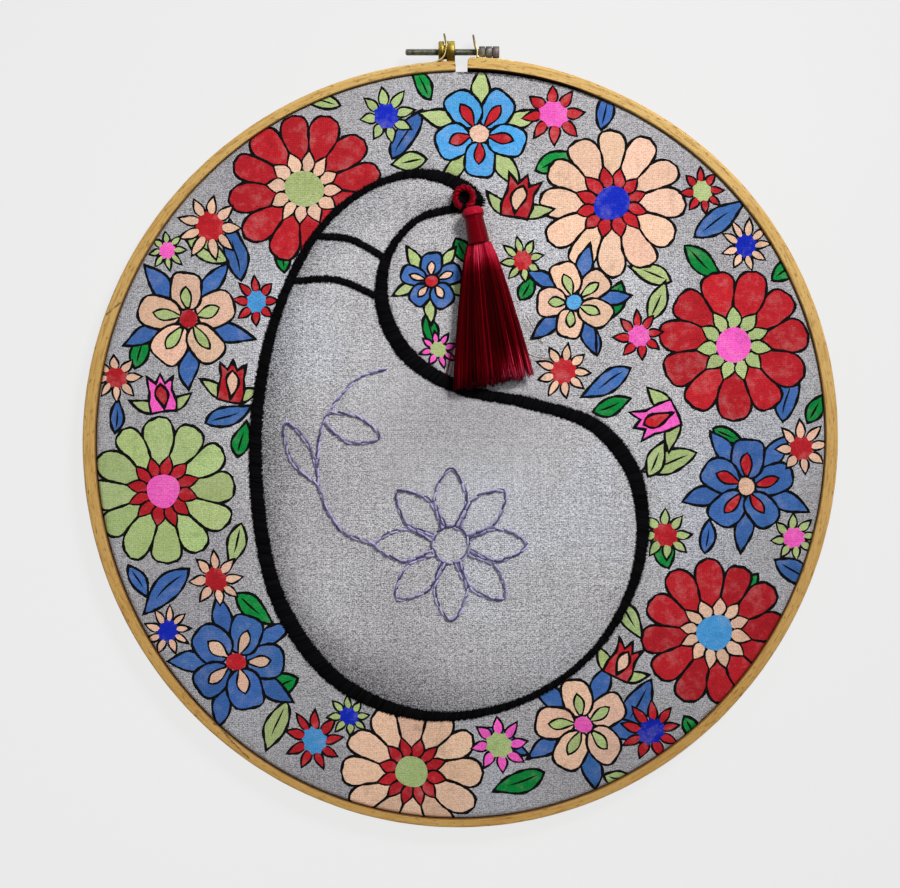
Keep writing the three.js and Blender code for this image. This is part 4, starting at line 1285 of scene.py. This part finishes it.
def tassel_strand(u, v, length, gather, sway, phase):
    """A strand's path down the skirt, drawn towards its lock's place on the way."""
    along = np.linspace(0, 1, STRAND_POINTS) * length * (1 - END_SLANT * u)
    axis = SKIRT_END - HEAD_BOTTOM
    side = np.array([-axis[1], axis[0]]) / np.linalg.norm(axis)
    half = SKIRT_TOP + (SKIRT_BOTTOM - SKIRT_TOP) * np.clip(along, 0, 1) ** SKIRT_FLARE
    depth = SKIRT_TOP_DEPTH + (SKIRT_BOTTOM_DEPTH - SKIRT_TOP_DEPTH) * along
    spread_u = u + (gather[0] - u) * 0.22 * along ** 1.2
    spread_v = v + (gather[1] - v) * 0.2 * along ** 1.2
    place = HEAD_BOTTOM + axis * along[:, None] + side * (spread_u * half)[:, None]
    place = place + side * (sway * np.sin(along * 3.1 + phase) * along)[:, None]
    z = TASSEL_Z + depth / 2 + spread_v * depth / 2 * 0.86 + 0.25 * np.sin(along * 5 + phase) * along
    return np.column_stack([place, z])


def strand_tone(rng, u, v, along, shade):
    """Tones along a strand: its lock's, with sparse painted highlights, a painted highlight at its top and at
    the top layer's tip, and painted light at the right edge.
    """
    # Painted highlights and painted light: the top, the tips and the right edge are lighter, and some strands
    # carry glints.
    crown = np.exp(-((along - 0.04) / 0.12) ** 2) * min(1, 1.25 + u)
    tip = np.clip(along * 7 - 5.9, 0, 1) * (v > 0.2)
    edge, right = min(max((u - 0.5) * 3, 0), 1), min(max(u * 1.6 + 0.2, 0), 1)
    glint = rng.choice((0, 0, 0, 0.3))
    glints = glint * np.clip(np.sin(along * 4 + rng.uniform(2.6, 4.2)), 0, 1) * (0.4 + right)
    tone = 0.16 + shade * (0.75 + 0.4 * along) + 0.29 * edge + rng.gauss(0, 0.055) + glints
    tone = tone + (0.24 + 0.9 * rng.random() ** 1.4 + shade * 0.6) * crown * (0.95 - 0.35 * edge)
    tone = tone + (0.1 + 0.9 * rng.random() ** 1.8) * (0.2 + 0.8 * right) * tip
    return np.clip(tone, 0, 1)


def bound_head(surface):
    """Fine windings over a slightly waisted core, with a folded bulge at its top."""
    lean = HEAD_BOTTOM - HEAD_TOP
    length = np.linalg.norm(lean)
    lean = lean / length
    side = np.array([-lean[1], lean[0]])
    angle = ring_angles(32)
    shares = np.linspace(-0.02, 1.03, HEAD_ROWS)
    rows = []
    for share in shares:
        bound = 1.0 if share > BOUND_FROM else 0.0
        winding = 0.06 * math.cos(share * length * TAU / WINDING_PITCH) * bound
        folds = (1 - bound) * 0.28 * np.cos(angle * 13 + 2.2 * math.sin(share * 40))
        reach = np.interp(share, HEAD_SHARES, np.array(HEAD_WIDTHS) * HEAD_THICK) + winding + folds
        across = (reach * np.cos(angle))[:, None] * side
        z = TASSEL_Z + HEAD_THICK + 0.94 * reach * np.sin(angle)
        rows.append(np.column_stack([HEAD_TOP + lean * length * share + across, z]))
    # The folded top bulge is lighter: a painted highlight.
    surface.tube(rows, tone=np.where(shares < 0.22, 0.56, 0.35))


def make_tassel(finish):
    rng = random.Random(23)
    surface = Surface()
    locks = [skirt_lock(rng) for _ in range(LOCKS)]
    for _ in range(STRANDS):
        u, v = skirt_spot(rng)
        near = min(locks, key=lambda lock: (lock[0] - u) ** 2 * 4 + (lock[1] - v) ** 2 * 0.6)
        *gather, sway, phase, extra, shade = near
        length = 1 + extra - 0.022 * v + rng.gauss(0, 0.008)
        path = tassel_strand(u, v, length, gather, sway + rng.gauss(0, 0.12), phase)
        tone = strand_tone(rng, u, v, np.linspace(0, 1, STRAND_POINTS), shade)
        surface.tube(thread_rows(path, rng.uniform(*STRAND_RADII), 3), tone=tone)
    bound_head(surface)
    turn = np.linspace(-0.42 * math.pi, 1.42 * math.pi, LOOP_POINTS)
    loop = np.column_stack([
        LOOP_X + LOOP_HALF_WIDTH * np.cos(turn), LOOP_Y + LOOP_HALF_HEIGHT * np.sin(turn),
        np.full(LOOP_POINTS, TASSEL_Z + LOOP_CORD + 0.6),
    ])
    surface.tube(thread_rows(loop, LOOP_CORD * 1.05, 20, 3, 0.16, 0.36), tone=0.4)
    # A few threads have slipped out of the skirt.
    for line in STRAYS:
        z = np.linspace(TASSEL_Z + 1.5, CLOTH_FACE + 0.25, STRAY_POINTS)
        path = np.column_stack([smooth_path(line, STRAY_POINTS), z])
        surface.tube(thread_rows(path, STRAY_RADIUS, 5), tone=0.26)
    surface.piece("tassel_threads", finish, "tassel", "tassel_thread")


# ---------------- assembly

stage_scene()
make_cloth()
make_hoops()
make_screw()
BRUSHED = (300, 300, 4000)
make_nut(metal("brass", srgb(216, 192, 92), srgb(88, 66, 20), 0.26, BRUSHED, 0.8, tone_darkening=0.85))
pale_brass = metal("pale_brass", srgb(222, 206, 148), srgb(112, 96, 56), 0.3, BRUSHED, 0.5, tone_darkening=0.8)
for bracket_node, bracket_sizes in BRACKETS.items():
    make_bracket(bracket_node, pale_brass, *bracket_sizes)
make_satin(thread_finish("black_satin", [(2, 2, 3), (17, 16, 19)], 0.95, 0.0, specular=0.06))
make_flower(thread_finish("lavender_thread", [(64, 58, 98), (182, 176, 214)], 0.75, 0.05))
TASSEL_REDS = [(24, 0, 0), (78, 0, 4), (136, 8, 28), (198, 32, 62), (255, 84, 120)]
make_tassel(thread_finish("tassel_viscose", TASSEL_REDS, 0.34, 0.0, 0.2, 0.3, (1, 0.04, 0.08, 1)))
